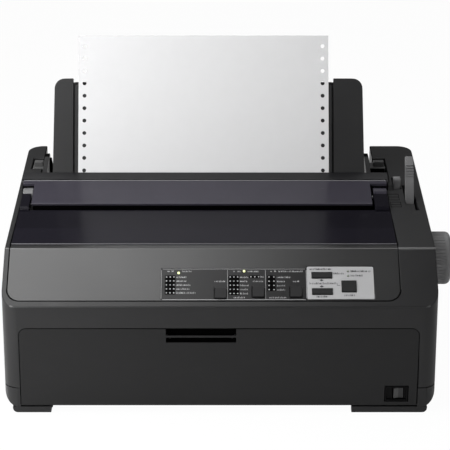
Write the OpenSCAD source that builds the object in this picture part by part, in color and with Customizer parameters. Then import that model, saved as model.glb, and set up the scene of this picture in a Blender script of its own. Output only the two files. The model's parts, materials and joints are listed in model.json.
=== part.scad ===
// Dot matrix printer with a narrow carriage, built as separate pieces.
// X runs to the right, Y to the back, Z up. The origin is on the desk under the middle of the housing.

/* [Housing] */
// Width of the housing beside the paper form
side_room = 151; // [145:1:160]
// Depth of the housing
body_d = 300; // [296:1:320]
// Height of the front face
front_h = 106; // [102:1:110]
// Depth of the sloping panel
slope_run = 50; // [47:1:54]
// Height at the top of the sloping panel
slope_top = 146.5; // [144:0.5:152]
// Height of the towers at the back
rear_top = 172.5; // [171:0.5:178]
// Radius of the upright corners
corner_r = 15; // [10:1:18]
// Thickness of the moulded walls
wall = 2.5; // [2:0.1:3]
// Height of the parting line between the two housings
split_z = 25; // [22:1:30]
// Height of the underside above the desk
base_z = 6; // [5:0.5:8]
// Width of the left tower
left_tower = 19; // [17:0.5:22]
// Width of the right tower
right_tower = 43.5; // [40:0.5:50]
// Height of the rear wall below the paper entry
rear_sill = 92; // [80:1:96]

/* [Covers] */
// Thickness of the lids and covers
lid_t = 3; // [2.4:0.1:3.4]
// Gap round lids, covers and keys
gap = 0.4; // [0.3:0.05:0.6]
// Width of the housing strip left of the lids
left_strip = 5.3; // [5:0.1:7]
// Width of the housing strip right of the lids
right_strip = 35.5; // [33:0.5:38]
// Distance of the printer cover's rear edge behind the middle
window_rear = -14; // [-16:0.5:-12]
// Radius of the printer cover's hinge knuckles
knuckle_r = 7; // [6:0.5:7.5]
// Radius of the hinge pins
pin_r = 1.5; // [1.2:0.1:2]
// Radial clearance of everything that turns
run_fit = 0.08; // [0.03:0.01:0.1]
// Height of the front cover
door_h = 78; // [70:1:80]
// Margin between the front cover and the side of the housing
door_margin = 16; // [15:0.5:20]

/* [Keys] */
// Travel of the keys
key_travel = 0.6; // [0.4:0.1:0.8]
// Height of the keys above the panel
key_rise = 1.1; // [0.8:0.1:1.6]
// Pitch of the three square keys
key_pitch = 35; // [34:0.5:36]

/* [Paper path] */
// Radius of the platen
platen_r = 15; // [14:0.5:16]
// Radius of the platen shaft
shaft_r = 5; // [4:0.5:6]
// Radius of the paper knob
knob_r = 26; // [22:1:28]
// Length of the paper knob
knob_l = 24; // [20:1:28]
// Width of the paper form
paper_w = 254; // [240:1:256]
// Length of paper standing above the slot
paper_l = 168; // [140:1:200]
// Thickness of the paper form
paper_t = 0.4; // [0.3:0.05:0.6]
// Backward lean of the sheet guide in degrees
guide_lean = 22.8; // [20:0.2:25]
// Height of the sheet guide along its slope
guide_l = 104; // [90:1:120]
// Width of the left post of the sheet guide
left_post = 19; // [16:0.5:22]
// Width of the right post of the sheet guide
right_post = 29.5; // [24:0.5:31]
// Distance between the sprocket holes
hole_pitch = 12.7; // [12.7:0.1:12.7]
// Radius of the sprocket holes
hole_r = 2; // [1.8:0.1:2.2]

/* [Mechanism] */
// Thickness of the side frames
plate_t = 1.6; // [1.2:0.1:2]
// Radius of the carriage shaft
carriage_shaft_r = 6; // [5:0.5:7]
// Width of the ribbon cartridge
cartridge_w = 96; // [80:1:100]
// Module of the gears
tooth_m = 1.5; // [1.5:0.1:1.5]
// Width of the gears
gear_w = 6; // [5:0.5:7]
// Side of the square tractor shaft
square_side = 7; // [6:0.5:8]
// Width of each tractor
tractor_w = 16; // [14:0.5:18]

/* [Hidden] */
eps = 0.01;
seat = 0.3;
body_w = paper_w + side_room;
yf = -body_d/2;
yr = body_d/2;
xl = -body_w/2;
xr = body_w/2;
slope_y = yf + slope_run;
slope_a = atan2(slope_top - front_h, slope_run);
slope_len = norm([slope_run, slope_top - front_h]);
roof_a = atan2(rear_top - slope_top, yr - slope_y);
function top_z(y) = slope_top + (y - slope_y)*tan(roof_a);
bay_l = xl + left_tower;
bay_r = xr - right_tower;
lid_l = xl + left_strip;
lid_r = xr - right_strip;
floor_z = base_z + wall;
deck_y = 38;
seat_drop = lid_t + gap;
roof_t = seat_drop + 2.1;
frame_l = bay_l + 11.5;
frame_r = bay_r - 19;
platen_y = -19.4;
platen_z = 107.5;

function arc(cx, cy, r, a0, a1, n = 8) =
    [for (i = [0:n]) [cx + r*cos(a0 + (a1 - a0)*i/n), cy + r*sin(a0 + (a1 - a0)*i/n)]];
function round_rect(x0, x1, y0, y1, r, n = 8) = concat(
    arc(x1 - r, y1 - r, r, 0, 90, n), arc(x0 + r, y1 - r, r, 90, 180, n),
    arc(x0 + r, y0 + r, r, 180, 270, n), arc(x1 - r, y0 + r, r, 270, 360, n));

// A box between two corners
module block(x0, x1, y0, y1, z0, z1) {
    translate([x0, y0, z0]) cube([x1 - x0, y1 - y0, z1 - z0]);
}
// A profile in the Y-Z plane, run along X
module along_x(x0, x1) {
    translate([x0, 0, 0]) rotate([90, 0, 90]) linear_extrude(x1 - x0) children();
}
// A profile in the X-Z plane, run along Y
module along_y(y0, y1) {
    translate([0, y1, 0]) rotate([90, 0, 0]) linear_extrude(y1 - y0) children();
}
// A round bar along X
module bar_x(x0, x1, y, z, r) {
    translate([x0, y, z]) rotate([0, 90, 0]) cylinder(h = x1 - x0, r = r, $fn = 64);
}
// A round bar along Z
module bar_z(x, y, z0, z1, r) {
    translate([x, y, z0]) cylinder(h = z1 - z0, r = r, $fn = 64);
}
// The sloping panel's own frame: origin at its top edge, Y up the slope, Z outwards
module on_slope() {
    translate([0, slope_y, slope_top]) rotate([slope_a, 0, 0]) children();
}
// The top face's own frame: origin at the top of the slope, Y to the back, Z outwards
module on_roof() {
    translate([0, slope_y, slope_top]) rotate([roof_a, 0, 0]) children();
}

// Outer form of the housings between two heights; inset shrinks it by a wall
module body_form(z0, z1, inset = 0, roof = 0) {
    r = corner_r - inset;
    intersection() {
        translate([0, 0, z0]) linear_extrude(z1 - z0)
            polygon(round_rect(xl + inset, xr - inset, yf + inset, yr - inset, r, 10));
        along_x(xl - 1, xr + 1) polygon([
            [yf - 1, z0 - 1], [yf - 1, front_h - roof - tan(slope_a)],
            [yf, front_h - roof], [slope_y, slope_top - roof],
            [yr, rear_top - roof], [yr + 1, rear_top - roof + tan(roof_a)], [yr + 1, z0 - 1]]);
    }
}
// Lower side edges, rounded as seen from the front
module tray_form(inset = 0) {
    r = 14 - inset;
    along_y(yf - 1, yr + 1) polygon(concat(
        arc(xl + inset + r, base_z + inset + r, r, 180, 270, 10),
        arc(xr - inset - r, base_z + inset + r, r, 270, 360, 10),
        [[xr - inset, split_z + 1], [xl + inset, split_z + 1]]));
}
door_l = xl + door_margin;
door_r = xr - door_margin - 2;
hinge_r = 2;
door_y = yf + hinge_r;
door_z = floor_z + 0.5;
door_top = base_z + 1 + door_h;
// Places of the feet and the width of each one; the fifth stands under the middle
foot_inset = 31;
wide_foot_inset = 48.5;
foot_w = 28;
wide_foot_w = 60;
foot_spots = [[xl + foot_inset, yf + 12, foot_w], [xr - wide_foot_inset, yf + 12, wide_foot_w],
    [xl + foot_inset, yr - 20, foot_w], [xr - wide_foot_inset, yr - 20, wide_foot_w], [0, 0, foot_w]];
foot_d = 18;
foot_h = 3;
// Cooling slots in the floor
slot_pitch = 20;
slot_w = 6;
slot_x0 = frame_l + 62;
slot_count = 10;
board_stand = 15;

// Base tray: rounded sides, floor with cooling slots, pedestals and standing bosses
module lower_housing() color([0.13, 0.13, 0.14]) {
    difference() {
        intersection() {
            body_form(base_z, split_z);
            tray_form();
        }
        intersection() {
            body_form(floor_z, split_z + 1, wall);
            tray_form(wall);
        }
        block(door_l - gap - 2.2, door_r + gap + 2.2, yf - 1, yf + wall + 2, base_z - 1, split_z + 1);
        for (i = [0:slot_count - 1]) if (abs(slot_x0 + i*slot_pitch + slot_w/2) > (foot_w + slot_w)/2)
            block(slot_x0 + i*slot_pitch, slot_x0 + i*slot_pitch + slot_w, -30, 40, base_z - 1,
                floor_z + 1);
    }
    difference() {
        for (s = [0, 1]) block([door_l - gap - 2.2, door_r + gap][s],
            [door_l - gap, door_r + gap + 2.2][s],
            yf + 0.2, yf + 12, base_z, split_z);
        bar_x(door_l - 2, door_r + 2, door_y, door_z, 1.2 + run_fit);
    }
    for (f = foot_spots) translate([f[0], f[1], foot_h]) linear_extrude(base_z - foot_h)
        polygon(round_rect(-f[2]/2, f[2]/2, -foot_d/2, foot_d/2, 4));
    for (x = [frame_l - 6, frame_r + 6], y = [-100, 0, 100])
        translate([x, y, floor_z]) cylinder(h = frame_z - floor_z, r = 4, $fn = 48);
}
frame_z = floor_z + 2;

module rubber_feet() color([0.08, 0.08, 0.08]) {
    for (f = foot_spots) translate([f[0], f[1], 0]) linear_extrude(foot_h)
        polygon(round_rect(-f[2]/2 + 2, f[2]/2 - 2, -foot_d/2 + 2, foot_d/2 - 2, 3));
}

notch_l = xl + 7.5;
notch_r = bay_r + 13.5;
notch_y0 = 88;
notch_y1 = 116;
knuckle_y = 21;
knuckle_z = top_z(knuckle_y) - 1.9;
lever_x0 = xr - 18;
lever_w = 8;
lever_y = 12;
lever_z = 112;
release_x0 = xr - 27;
release_y = 50;
release_z = 140;
panel_v = slope_len - 7.5;
socket_z = 44;
port_x = frame_l + 72;
usb_x = frame_l + 123.5;
inlet_x0 = xr - 38;
inlet_x1 = inlet_x0 + 24;

// Space inside the towers and under the sloping panel
module housing_hollow() {
    difference() {
        body_form(split_z - 1, rear_top + 20, wall, roof_t);
        block(bay_l - wall, bay_l, slope_y + 4, yr, 0, 200);
        block(bay_r, bay_r + wall, slope_y + 4, yr, 0, 200);
    }
}
// Opening over the print mechanism, open to the back above the rear wall
module bay_space() {
    block(bay_l, bay_r, slope_y + 6, yr - wall, split_z - 1, 200);
    block(bay_l, bay_r, deck_y, yr + 1, rear_sill, 200);
}
// Seat for the covers in the top face
module lid_seat() {
    on_roof() block(lid_l - gap, lid_r + gap, -1, (deck_y - slope_y)/cos(roof_a), -seat_drop, 60);
}
module panel_opening() {
    on_slope() {
        translate([0, 0, -lid_t - gap]) linear_extrude(20) panel_outline(gap);
        block(lid_l - gap, lid_r + gap, -1, 9, -lid_t - gap, 20);
        block(lid_l + 8, lid_r - 8, -panel_v + 0.9, 12, -20, 20);
    }
}

// Upper housing: front, sloping rim, two towers and the low rear wall
module upper_housing() color([0.2, 0.2, 0.21]) {
    difference() {
        body_form(split_z + gap, rear_top + 20);
        housing_hollow();
        bay_space();
        lid_seat();
        panel_opening();
        along_y(yf - 1, yf + wall + 1) door_outline(gap);
        // pockets for the knuckles of the printer cover
        for (s = [0, 1]) block([lid_l - gap, bay_r - 1][s], [bay_l + 1, lid_r + gap][s],
            knuckle_y - knuckle_r - 1, knuckle_y + knuckle_r + 1, knuckle_z - knuckle_r - 1, 200);
        bar_x(lid_l - 2.6, lid_r + 4, knuckle_y, knuckle_z, pin_r);
        // notches for the arms of the sheet guide
        block(notch_l, bay_l + 1, notch_y0, notch_y1, top_z(notch_y0) - 12, 200);
        block(bay_r - 1, notch_r, deck_y + 16, notch_y1, top_z(notch_y0) - 12, 200);
        // slots of the two levers
        block(lever_x0 - 0.7, lever_x0 + lever_w + 0.7, lever_y - 12, lever_y + 34, lever_z + 20, 200);
        translate([0, 0, lever_z + 20]) linear_extrude(80) polygon([
            [lever_x0 + lever_w, lever_y - 26], [lever_x0 + lever_w + 3.4, lever_y - 26],
                [lever_x0 + lever_w, lever_y + 36]]);
        block(release_x0 - 0.6, release_x0 + 7.6, release_y - 14, release_y + 16, release_z, 200);
        // knob hole and the openings of the rear sockets
        bar_x(bay_r - 1, xr + 1, platen_y, platen_z, shaft_r + 1.5);
        block(inlet_x0, inlet_x1, yr - wall - 1, yr + 1, socket_z - 10, socket_z + 10);
        block(port_x - 30, port_x + 30, yr - wall - 1, yr + 1, socket_z - 8, socket_z + 8);
        block(usb_x - 6.5, usb_x + 6.5, yr - wall - 1, yr + 1, socket_z - 6, socket_z + 6);
        for (i = [0:11]) block(xl - 1, xl + wall + 1, -60 + i*9, -56 + i*9, 45, 75);
    }
}

// Plane in which the form and the fronts of the posts lie
guide_z = 166;
guide_y = 49;
function form_y(z) = guide_y + (z - guide_z)*tan(guide_lean);
module on_guide() {
    translate([0, guide_y, guide_z]) rotate([90 - guide_lean, 0, 0]) children();
}
// Dark deck bar behind the paper cover, with the ears that carry the cover's pins
flap_y = deck_y - 3.5;
flap_z = top_z(flap_y) + 7;
flap_r = 3;
deck_x0 = lid_l - 2;
deck_x1 = lid_r + 2;
deck_foot = top_z(deck_y + 9) + 0.3;
cheek_z = 134;
module rear_deck() color([0.1, 0.1, 0.11]) {
    difference() {
        union() {
            along_x(deck_x0, deck_x1) polygon([
                [deck_y, top_z(deck_y) + 0.3], [deck_y, flap_z + 3], [deck_y + 2, flap_z + 3.5],
                [form_y(flap_z + 6.5) - 2.2, flap_z + 6.5], [form_y(flap_z + 6) - 1.2, flap_z + 6],
                [form_y(deck_foot) - 1.2, deck_foot]]);
            for (s = [0, 1]) along_x([deck_x0, deck_x1 - 1.8][s], [deck_x0 + 1.8, deck_x1][s])
                polygon(concat(
                arc(flap_y, flap_z, 3, 90, 180, 8), [[flap_y - 3, top_z(flap_y) + 0.2],
                [deck_y, top_z(deck_y) + 0.3], [deck_y, flap_z + 3]]));
            along_x(bay_l + seat, bay_r - seat) polygon([
                [deck_y, top_z(deck_y) - 7], [deck_y, flap_z], [form_y(flap_z) - 1.2, flap_z],
                [form_y(top_z(deck_y) - 7) - 1.2, top_z(deck_y) - 7]]);
            // cheeks that close the paper slot on either side of the form
            for (s = [0, 1]) block([bay_l + seat, sheet_x0 + paper_w + 3][s],
                [sheet_x0 - 3, bay_r - seat][s],
                deck_y, deck_y + 1.8, cheek_z, top_z(deck_y) - 6);
        }
        bar_x(deck_x0 - 1, deck_x1 + 1, flap_y, flap_z, pin_r + run_fit);
    }
}

// Smoked flap over the paper's way out, with its barrel, pins and stiffening edge
flap_len = 43.5;
flap_drop = 9.6;
module paper_cover() color([0.22, 0.21, 0.25, 0.85]) {
    difference() {
        union() {
            along_x(lid_l, lid_r) polygon([
                [flap_y, flap_z + 2.9], [flap_y, flap_z + 0.3],
                    [flap_y - flap_len + 0.6, flap_z - flap_drop],
                [flap_y - flap_len, flap_z - flap_drop + 0.6],
                    [flap_y - flap_len, flap_z - flap_drop + 2],
                [flap_y - flap_len + 1, flap_z - flap_drop + 2.8]]);
            bar_x(lid_l, lid_r, flap_y, flap_z, flap_r);
            for (i = [0:3]) along_x(lid_l + 57 + i*(lid_r - lid_l - 124)/3,
                lid_l + 58.5 + i*(lid_r - lid_l - 124)/3) polygon([
                [flap_y - 3, flap_z - 0.5], [flap_y - 3, flap_z - 4],
                [flap_y - flap_len + 8, flap_z - flap_drop],
                    [flap_y - flap_len + 8, flap_z - flap_drop + 2]]);
        }
        for (s = [0, 1]) block([lid_l - 1, lid_r - 17][s], [lid_l + 11.4, lid_r + 1][s],
            -60, knuckle_y + knuckle_r + 0.6, 100, 200);
    }
    bar_x(deck_x0 + 0.4, lid_l + 1, flap_y, flap_z, pin_r);
    bar_x(lid_r - 1, deck_x1 - 0.4, flap_y, flap_z, pin_r);
}

// Smoked window over the print head with its skirt, two arms and two knuckles
window_front = slope_y + 9.5;
function under_lid(y) = top_z(y) - lid_t;
arm_w = 9;
arm_l = lid_l + 0.6;
arm_r = lid_r - 14.6;
module printer_cover() color([0.13, 0.12, 0.15, 0.85]) {
    along_x(lid_l, lid_r) polygon([
        [window_front, top_z(window_front) - 0.8], [window_front + 0.8, top_z(window_front)],
        [window_rear - 0.8, top_z(window_rear)], [window_rear, top_z(window_rear) - 0.8],
        [window_rear, under_lid(window_rear)], [window_front, under_lid(window_front)]]);
    for (s = [0, 1]) along_x([bay_l + 1.5, bay_r - 3.5][s], [bay_l + 3.5, bay_r - 1.5][s]) polygon([
        [window_front + 4, under_lid(window_front)], [window_front + 7, under_lid(window_front) - 5],
        [window_rear - 7, under_lid(window_rear) - 7], [window_rear - 3, under_lid(window_rear)]]);
    difference() {
        for (s = [0, 1]) along_x([arm_l, arm_r][s], [arm_l + arm_w, arm_r + 14][s]) polygon(concat(
            arc(knuckle_y, knuckle_z, knuckle_r, 110, -60, 12),
            [[knuckle_y - 8, top_z(knuckle_y - 8) - 2.6], [window_rear - 3, under_lid(window_rear)],
             [window_rear - 3, top_z(window_rear) + 1], [window_rear, top_z(window_rear) + 4]]));
        bar_x(lid_l - 1, lid_r + 1, knuckle_y, knuckle_z, pin_r + run_fit);
    }
}
module cover_hinge_pins() color([0.7, 0.7, 0.72]) {
    bar_x(lid_l - 2.4, arm_l + arm_w + 0.6, knuckle_y, knuckle_z, pin_r);
    bar_x(arm_r - 0.6, lid_r + 3.8, knuckle_y, knuckle_z, pin_r);
}
// Toothed steel bar under the rear edge of the window
module tear_off_bar() color([0.6, 0.6, 0.62]) {
    z = under_lid(window_rear - 2.5);
    along_x(frame_l + 16, frame_r - 14) polygon([[window_rear - 2.5, z], [window_rear - 1.3, z],
        [window_rear - 1.3, z - 5], [window_rear - 2.5, z - 5]]);
    for (i = [0:floor((frame_r - frame_l - 30)/6) - 1])
        translate([frame_l + 17 + i*6, window_rear - 1.3, z - 8]) rotate([90, 0, 0])
        linear_extrude(1.2) polygon([[0, 3 + eps], [5.4, 3 + eps], [2.7, 0]]);
}

// Keys of the panel: [left edge, distance down the slope, width, height]
key_w = 11;
key_x = lid_r - 172;
key_v = 42;
plate_x0 = lid_r - 86;
plate_x1 = plate_x0 + 62;
label_x0 = plate_x0 - 136;
plate_v0 = 20.3;
plate_v1 = 55.2;
wide_key = [18.6, 6.4];
tear_off_place = [key_x, key_v + 1.5, key_w, key_w];
font_place = [key_x + key_pitch, key_v, key_w, key_w];
pitch_place = [key_x + 2*key_pitch, key_v, key_w, key_w];
load_place = [plate_x0 + 4.6, 26.4, wide_key[0], wide_key[1]];
line_feed_place = [plate_x0 + 4.6, 43.9, wide_key[0], wide_key[1]];
pause_place = [plate_x0 + 32.2, 35.6, 13.2, 12];
KEYS = [tear_off_place, font_place, pitch_place, load_place, line_feed_place, pause_place];
// Lamps: [middle, distance down the slope]
LAMPS = [[label_x0 + 16.5, 27], [label_x0 + 77.5, 25], [plate_x0 + 38.2, 25.2], [plate_x0 + 38.2, 30.2]];
lamp_r = 1.1;
board_w = 7.4;
stem_drop = board_w - 1.5;

module key_hole(k, grow = 0, z0 = -20, z1 = 20) {
    block(k[0] - grow, k[0] + k[2] + grow, -k[1] - k[3] - grow, -k[1] + grow, z0, z1);
}
// Outline of the panel's cover, round at its lower corners
module panel_outline(grow = 0) {
    r = 12 + grow;
    polygon(concat(arc(lid_l + 12, -panel_v + 12, r, 180, 270),
        arc(lid_r - 12, -panel_v + 12, r, 270, 360),
        [[lid_r + grow, 0], [lid_l - grow, 0]]));
}
// Point on the slope's section: v up the slope from its top edge, w out of it
function slope_point(v, w) = [slope_y + v*cos(slope_a) - w*sin(slope_a), slope_top + v*sin(slope_a)
    + w*cos(slope_a)];
// What is cut away to round a lower corner of the panel's cover, at edge x
module panel_corner(x, side) difference() {
    block(x - (side > 0 ? 12 : 1), x + (side > 0 ? 1 : 12), -panel_v - 1, -panel_v + 12, -lid_t - 6, 6);
    translate([x - side*12, -panel_v + 12, -lid_t - 7]) cylinder(h = lid_t + 14, r = 12, $fn = 64);
}
// How far behind the top edge the undersides of the panel's slope and of its turned-over rim meet
turn_y = lid_t*(1/cos(slope_a) - 1/cos(roof_a))/(tan(slope_a) - tan(roof_a));
// Sloping cover of the panel, turned over at the top edge, sunk where the label lies
module control_panel() color([0.22, 0.22, 0.23]) {
    difference() {
        along_x(lid_l, lid_r) polygon(concat(
            arc(slope_y + 4*tan((slope_a - roof_a)/2), slope_top - 4, 4, 90 + slope_a, 90 + roof_a, 8),
            [[slope_y + 7, top_z(slope_y + 7) - 0.2],
                [slope_y + 7, top_z(slope_y + 7) - lid_t/cos(roof_a)],
             [slope_y + turn_y, slope_top + turn_y*tan(roof_a) - lid_t/cos(roof_a)],
             slope_point(-panel_v, -lid_t), slope_point(-panel_v, 0)]));
        on_slope() {
            panel_corner(lid_l, -1);
            panel_corner(lid_r, 1);
        }
        on_slope() {
            for (k = KEYS) key_hole(k, gap);
            block(label_x0, plate_x0 - gap, -plate_v1 - 0.8, -22, -0.5, 1);
            block(plate_x0 - gap, plate_x1 + gap, -plate_v1 - gap, -plate_v0 + gap, -1.2, 1);
            for (l = LAMPS) translate([l[0], -l[1], -9]) cylinder(h = 18, r = lamp_r + 0.1, $fn = 32);
        }
    }
}
// Light grey plate round the three right-hand keys
module key_plate() color([0.5, 0.5, 0.51]) {
    on_slope() difference() {
        translate([0, 0, -1.2]) linear_extrude(1.2)
            polygon(round_rect(plate_x0, plate_x1, -plate_v1, -plate_v0, 1.5));
        for (k = [load_place, line_feed_place, pause_place]) key_hole(k, gap);
        for (l = LAMPS) translate([l[0], -l[1], -9]) cylinder(h = 18, r = lamp_r + 0.1, $fn = 32);
    }
}
// One key: softened cap, collar under the panel and stem to its switch
module key_cap(k) {
    on_slope() {
        translate([0, 0, -lid_t - seat]) linear_extrude(lid_t + seat + key_rise - 0.4)
            polygon(round_rect(k[0], k[0] + k[2], -k[1] - k[3], -k[1], 0.8, 4));
        translate([0, 0, key_rise - 0.4]) linear_extrude(0.4)
            polygon(round_rect(k[0] + 0.3, k[0] + k[2] - 0.3, -k[1] - k[3] + 0.3, -k[1] - 0.3, 0.6, 4));
        block(k[0] - 1, k[0] + k[2] + 1, -k[1] - k[3] - 1, -k[1] + 1, -lid_t - seat - 1, -lid_t - seat);
        translate([k[0] + k[2]/2, -k[1] - k[3]/2, -stem_drop]) cylinder(h = 3, r = 2, $fn = 48);
    }
}
module tear_off_key() color([0.12, 0.12, 0.13]) { key_cap(tear_off_place); }
module font_key() color([0.12, 0.12, 0.13]) { key_cap(font_place); }
module pitch_key() color([0.12, 0.12, 0.13]) { key_cap(pitch_place); }
module load_key() color([0.1, 0.1, 0.11]) { key_cap(load_place); }
module line_feed_key() color([0.1, 0.1, 0.11]) { key_cap(line_feed_place); }
module pause_key() color([0.1, 0.1, 0.11]) { key_cap(pause_place); }

// Printed board under the panel, with the six switches and the standoffs to the panel
module panel_board() color([0.1, 0.32, 0.16]) {
    on_slope() {
        block(label_x0 - 5, plate_x1 + 5, -panel_v + 8, -18, -board_w - 1.6, -board_w);
        for (k = KEYS) translate([k[0] + k[2]/2, -k[1] - k[3]/2, -board_w - eps])
            cylinder(h = board_w - stem_drop - key_travel - 0.2, r = 2.5, $fn = 48);
        for (x = [label_x0 - 3, plate_x0 - 3, plate_x1 + 3]) translate([x, -20.5, -board_w - eps])
            cylinder(h = board_w - lid_t, r = 2, $fn = 32);
    }
}
// Lamps of the panel, domed, standing on the board
module panel_lamps() color([0.75, 0.9, 0.3]) {
    on_slope() for (l = LAMPS) translate([l[0], -l[1], -board_w]) {
        cylinder(h = board_w - 0.2, r = lamp_r, $fn = 32);
        translate([0, 0, board_w - 0.2]) intersection() {
            sphere(r = lamp_r, $fn = 32);
            translate([-2, -2, 0]) cube([4, 4, 2]);
        }
    }
}

// Front cover: flush door with a finger recess, hinge barrel and pins along its lower edge
switch_x0 = door_r - 30;
switch_x1 = switch_x0 + 21.5;
switch_z0 = door_z + 3;
switch_z1 = switch_z0 + 15;
grip_x0 = -50;
grip_x1 = 15;
// Outline of the front cover, round at its upper corners
door_corner = 7;
module door_outline(grow = 0) {
    r = door_corner + grow;
    polygon(concat([[door_l - grow, door_z], [door_r + grow, door_z]],
        arc(door_r - door_corner, door_top - door_corner, r, 0, 90),
        arc(door_l + door_corner, door_top - door_corner, r, 90, 180)));
}
module front_cover() color([0.14, 0.14, 0.15]) {
    difference() {
        union() {
            along_y(yf, yf + wall) door_outline();
            bar_x(door_l, door_r, door_y, door_z, hinge_r);
            block(grip_x0 - wall, grip_x1 + wall, yf + 1, yf + 13, door_top - 16, door_top - 3);
            for (x = [door_l + 16.5, grip_x0 - 40, grip_x1 + 45, switch_x0 - 9.5]) along_x(x, x + 2)
                polygon([
                [yf + wall - 1, door_z + 8], [yf + wall + 4, door_z + 14],
                    [yf + wall + 4, door_top - 22], [yf + wall - 1, door_top - 16]]);
        }
        along_x(grip_x0, grip_x1) polygon([
            [yf - 1, door_top - 13.5], [yf + 5, door_top - 13.5], [yf + 11, door_top - 9],
            [yf + 11, door_top + 1], [yf - 1, door_top + 1]]);
        block(switch_x0 - gap, switch_x1 + gap, yf - 1, yf + 20, switch_z0 - gap, switch_z1 + gap);
    }
    block(grip_x0, grip_x1, yf, yf + 1.6, door_top - 9, door_top - 6.5);
    bar_x(door_l - 1.9, door_l + 1, door_y, door_z, 1.2);
    bar_x(door_r - 1, door_r + 1.9, door_y, door_z, 1.2);
}
// Body of the mains switch, standing on the floor behind the front cover
module switch_housing() color([0.09, 0.09, 0.1]) {
    difference() {
        block(switch_x0, switch_x1, yf + 0.3, yf + 24, switch_z0, switch_z1);
        block(switch_x0 + 1.5, switch_x1 - 1.5, yf - 1, yf + 2, switch_z0 + 1.5, switch_z1 - 1.5);
        block(rocker_x - 5.4, rocker_x + 5.4, yf - 1, yf + 9, switch_z0 + 2, switch_z1 - 2);
        translate([rocker_x, rocker_y, switch_z0 + 0.9])
            cylinder(h = switch_z1 - switch_z0 - 1.8, r = 1 + run_fit, $fn = 48);
    }
    block(switch_x0 + 3, switch_x1 - 3, yf + 6, yf + 23, floor_z, switch_z0 + eps);
}
rocker_x = switch_x0 + 12.3;
rocker_y = yf + 5;
module power_rocker() color([0.2, 0.2, 0.21]) {
    translate([rocker_x, rocker_y, 0]) rotate([0, 0, 6]) {
        translate([0, 0, switch_z0 + 2.4]) linear_extrude(switch_z1 - switch_z0 - 4.8) polygon([
            [-4.8, -1.2], [-4.6, -3.4], [0, -2.8], [4.6, -3.4], [4.8, -1.2], [2, 1.8], [-2, 1.8]]);
        bar_z(0, 0, switch_z0 + 1.1, switch_z1 - 1.1, 1);
    }
}

// Sheet guide: leaning plate, raised posts, base beam, side arms and tabs
guide_x0 = bay_l + 15.4;
guide_x1 = bay_r - 14.1;
sheet_x0 = guide_x0 + left_post + 5.4;
tab_y0 = notch_y0 + 2;
tab_y1 = notch_y1 - 6;
tab_floor = top_z(notch_y0) - 12 + seat;
post_depth = 3;
form_gap = (paper_t + seat)/cos(guide_lean);
pocket_step = (guide_x1 - guide_x0 - 61)/6;
module sheet_guide() color([0.17, 0.17, 0.18]) {
    on_guide() {
        translate([0, 0, -post_depth - 3]) linear_extrude(post_depth + 3) polygon(concat(
            [[guide_x0 - 1.5, -1], [guide_x0 + left_post, -1], [guide_x0 + left_post, guide_l]],
            arc(guide_x0 + 10, guide_l - 10, 10, 90, 180)));
        translate([0, 0, -post_depth - 3]) linear_extrude(post_depth + 3) polygon(concat(
            [[guide_x1 - right_post, -1], [guide_x1 + 1.5, -1]],
            arc(guide_x1 - 10, guide_l - 10, 10, 0, 90), [[guide_x1 - right_post, guide_l]]));
        difference() {
            block(guide_x0 + 4, guide_x1 - 4, -1, guide_l - 3.5, -post_depth - 3, -paper_t - seat);
            block(guide_x0 + left_post, guide_x0 + left_post + 2, 1, guide_l, -3.4, 1);
            block(guide_x1 - right_post - 2, guide_x1 - right_post, 1, guide_l, -3.4, 1);
            block(guide_x0 + left_post + 2, guide_x1 - right_post - 2, guide_l - 6.5, guide_l - 5, -2.4,
                1);
            for (i = [0:5]) block(guide_x0 + 30 + i*pocket_step, guide_x0 + 62 + i*pocket_step, 12,
                guide_l - 16, -post_depth - 4, -post_depth);
        }
        for (x = [guide_x0 + 8, guide_x1 - 11]) block(x, x + 3, 6, guide_l - 14, -post_depth - 8,
            -post_depth - 2);
    }
    along_x(bay_l + 2.5, bay_r - 5.5) polygon([
        [form_y(162.5) + form_gap + 0.5, 162.5], [form_y(guide_z + 3) + form_gap + 0.5, guide_z + 3],
        [form_y(guide_z + 3) + 7, guide_z + 2], [form_y(162.5) + 9, 162.5]]);
    for (s = [0, 1]) along_x([bay_l + 2.5, bay_r - 10][s], [bay_l + 7, bay_r - 5.5][s]) polygon([
        [form_y(162.5) + 1, 162.5], [tab_y0 - 12, 158], [tab_y1, 158], [tab_y1, 170],
        [tab_y1 - 6, 178], [tab_y0 + 2, 178], [form_y(guide_z) + 4, guide_z + 2]]);
    block(notch_l + 1.2, bay_l + 3, tab_y0, tab_y1, tab_floor, top_z(tab_y0));
    block(bay_r - 6, notch_r - 1.6, tab_y0, tab_y1, tab_floor, top_z(tab_y0));
}
// Sprocket-holed form standing against the guide
module paper_form() color([0.93, 0.93, 0.92]) {
    on_guide() difference() {
        block(sheet_x0, sheet_x0 + paper_w, -33, paper_l - 20, -paper_t, 0);
        for (i = [0:13]) for (x = [sheet_x0 + 6, sheet_x0 + paper_w - 6])
            translate([x, -28 + i*hole_pitch, -1]) cylinder(h = 2, r = hole_r, $fn = 24);
    }
}

// Levers on the right tower: thickness lever with a ribbed grip, and the short release lever
module thickness_lever() color([0.42, 0.42, 0.43]) {
    difference() {
        union() {
            along_x(lever_x0, lever_x0 + lever_w) polygon([
                [lever_y - 4, lever_z - 4], [lever_y + 4, lever_z - 4], [lever_y + 6, lever_z + 48],
                [lever_y + 14, lever_z + 68], [lever_y + 20, lever_z + 84],
                    [lever_y + 17, lever_z + 85.5],
                [lever_y + 9, lever_z + 78], [lever_y + 3, lever_z + 64], [lever_y - 5, lever_z + 48]]);
            bar_x(lever_x0, lever_x0 + lever_w, lever_y, lever_z, 7);
        }
        bar_x(lever_x0 - 1, lever_x0 + lever_w + 1, lever_y, lever_z, 3 + run_fit);
        for (i = [0:4]) along_x(lever_x0 - 1, lever_x0 + lever_w + 1)
            translate([lever_y + 4.4 + i*1.3, lever_z + 68 + i*2.4])
            rotate(60) square([0.9, 1.6], center = true);
    }
}
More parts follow.
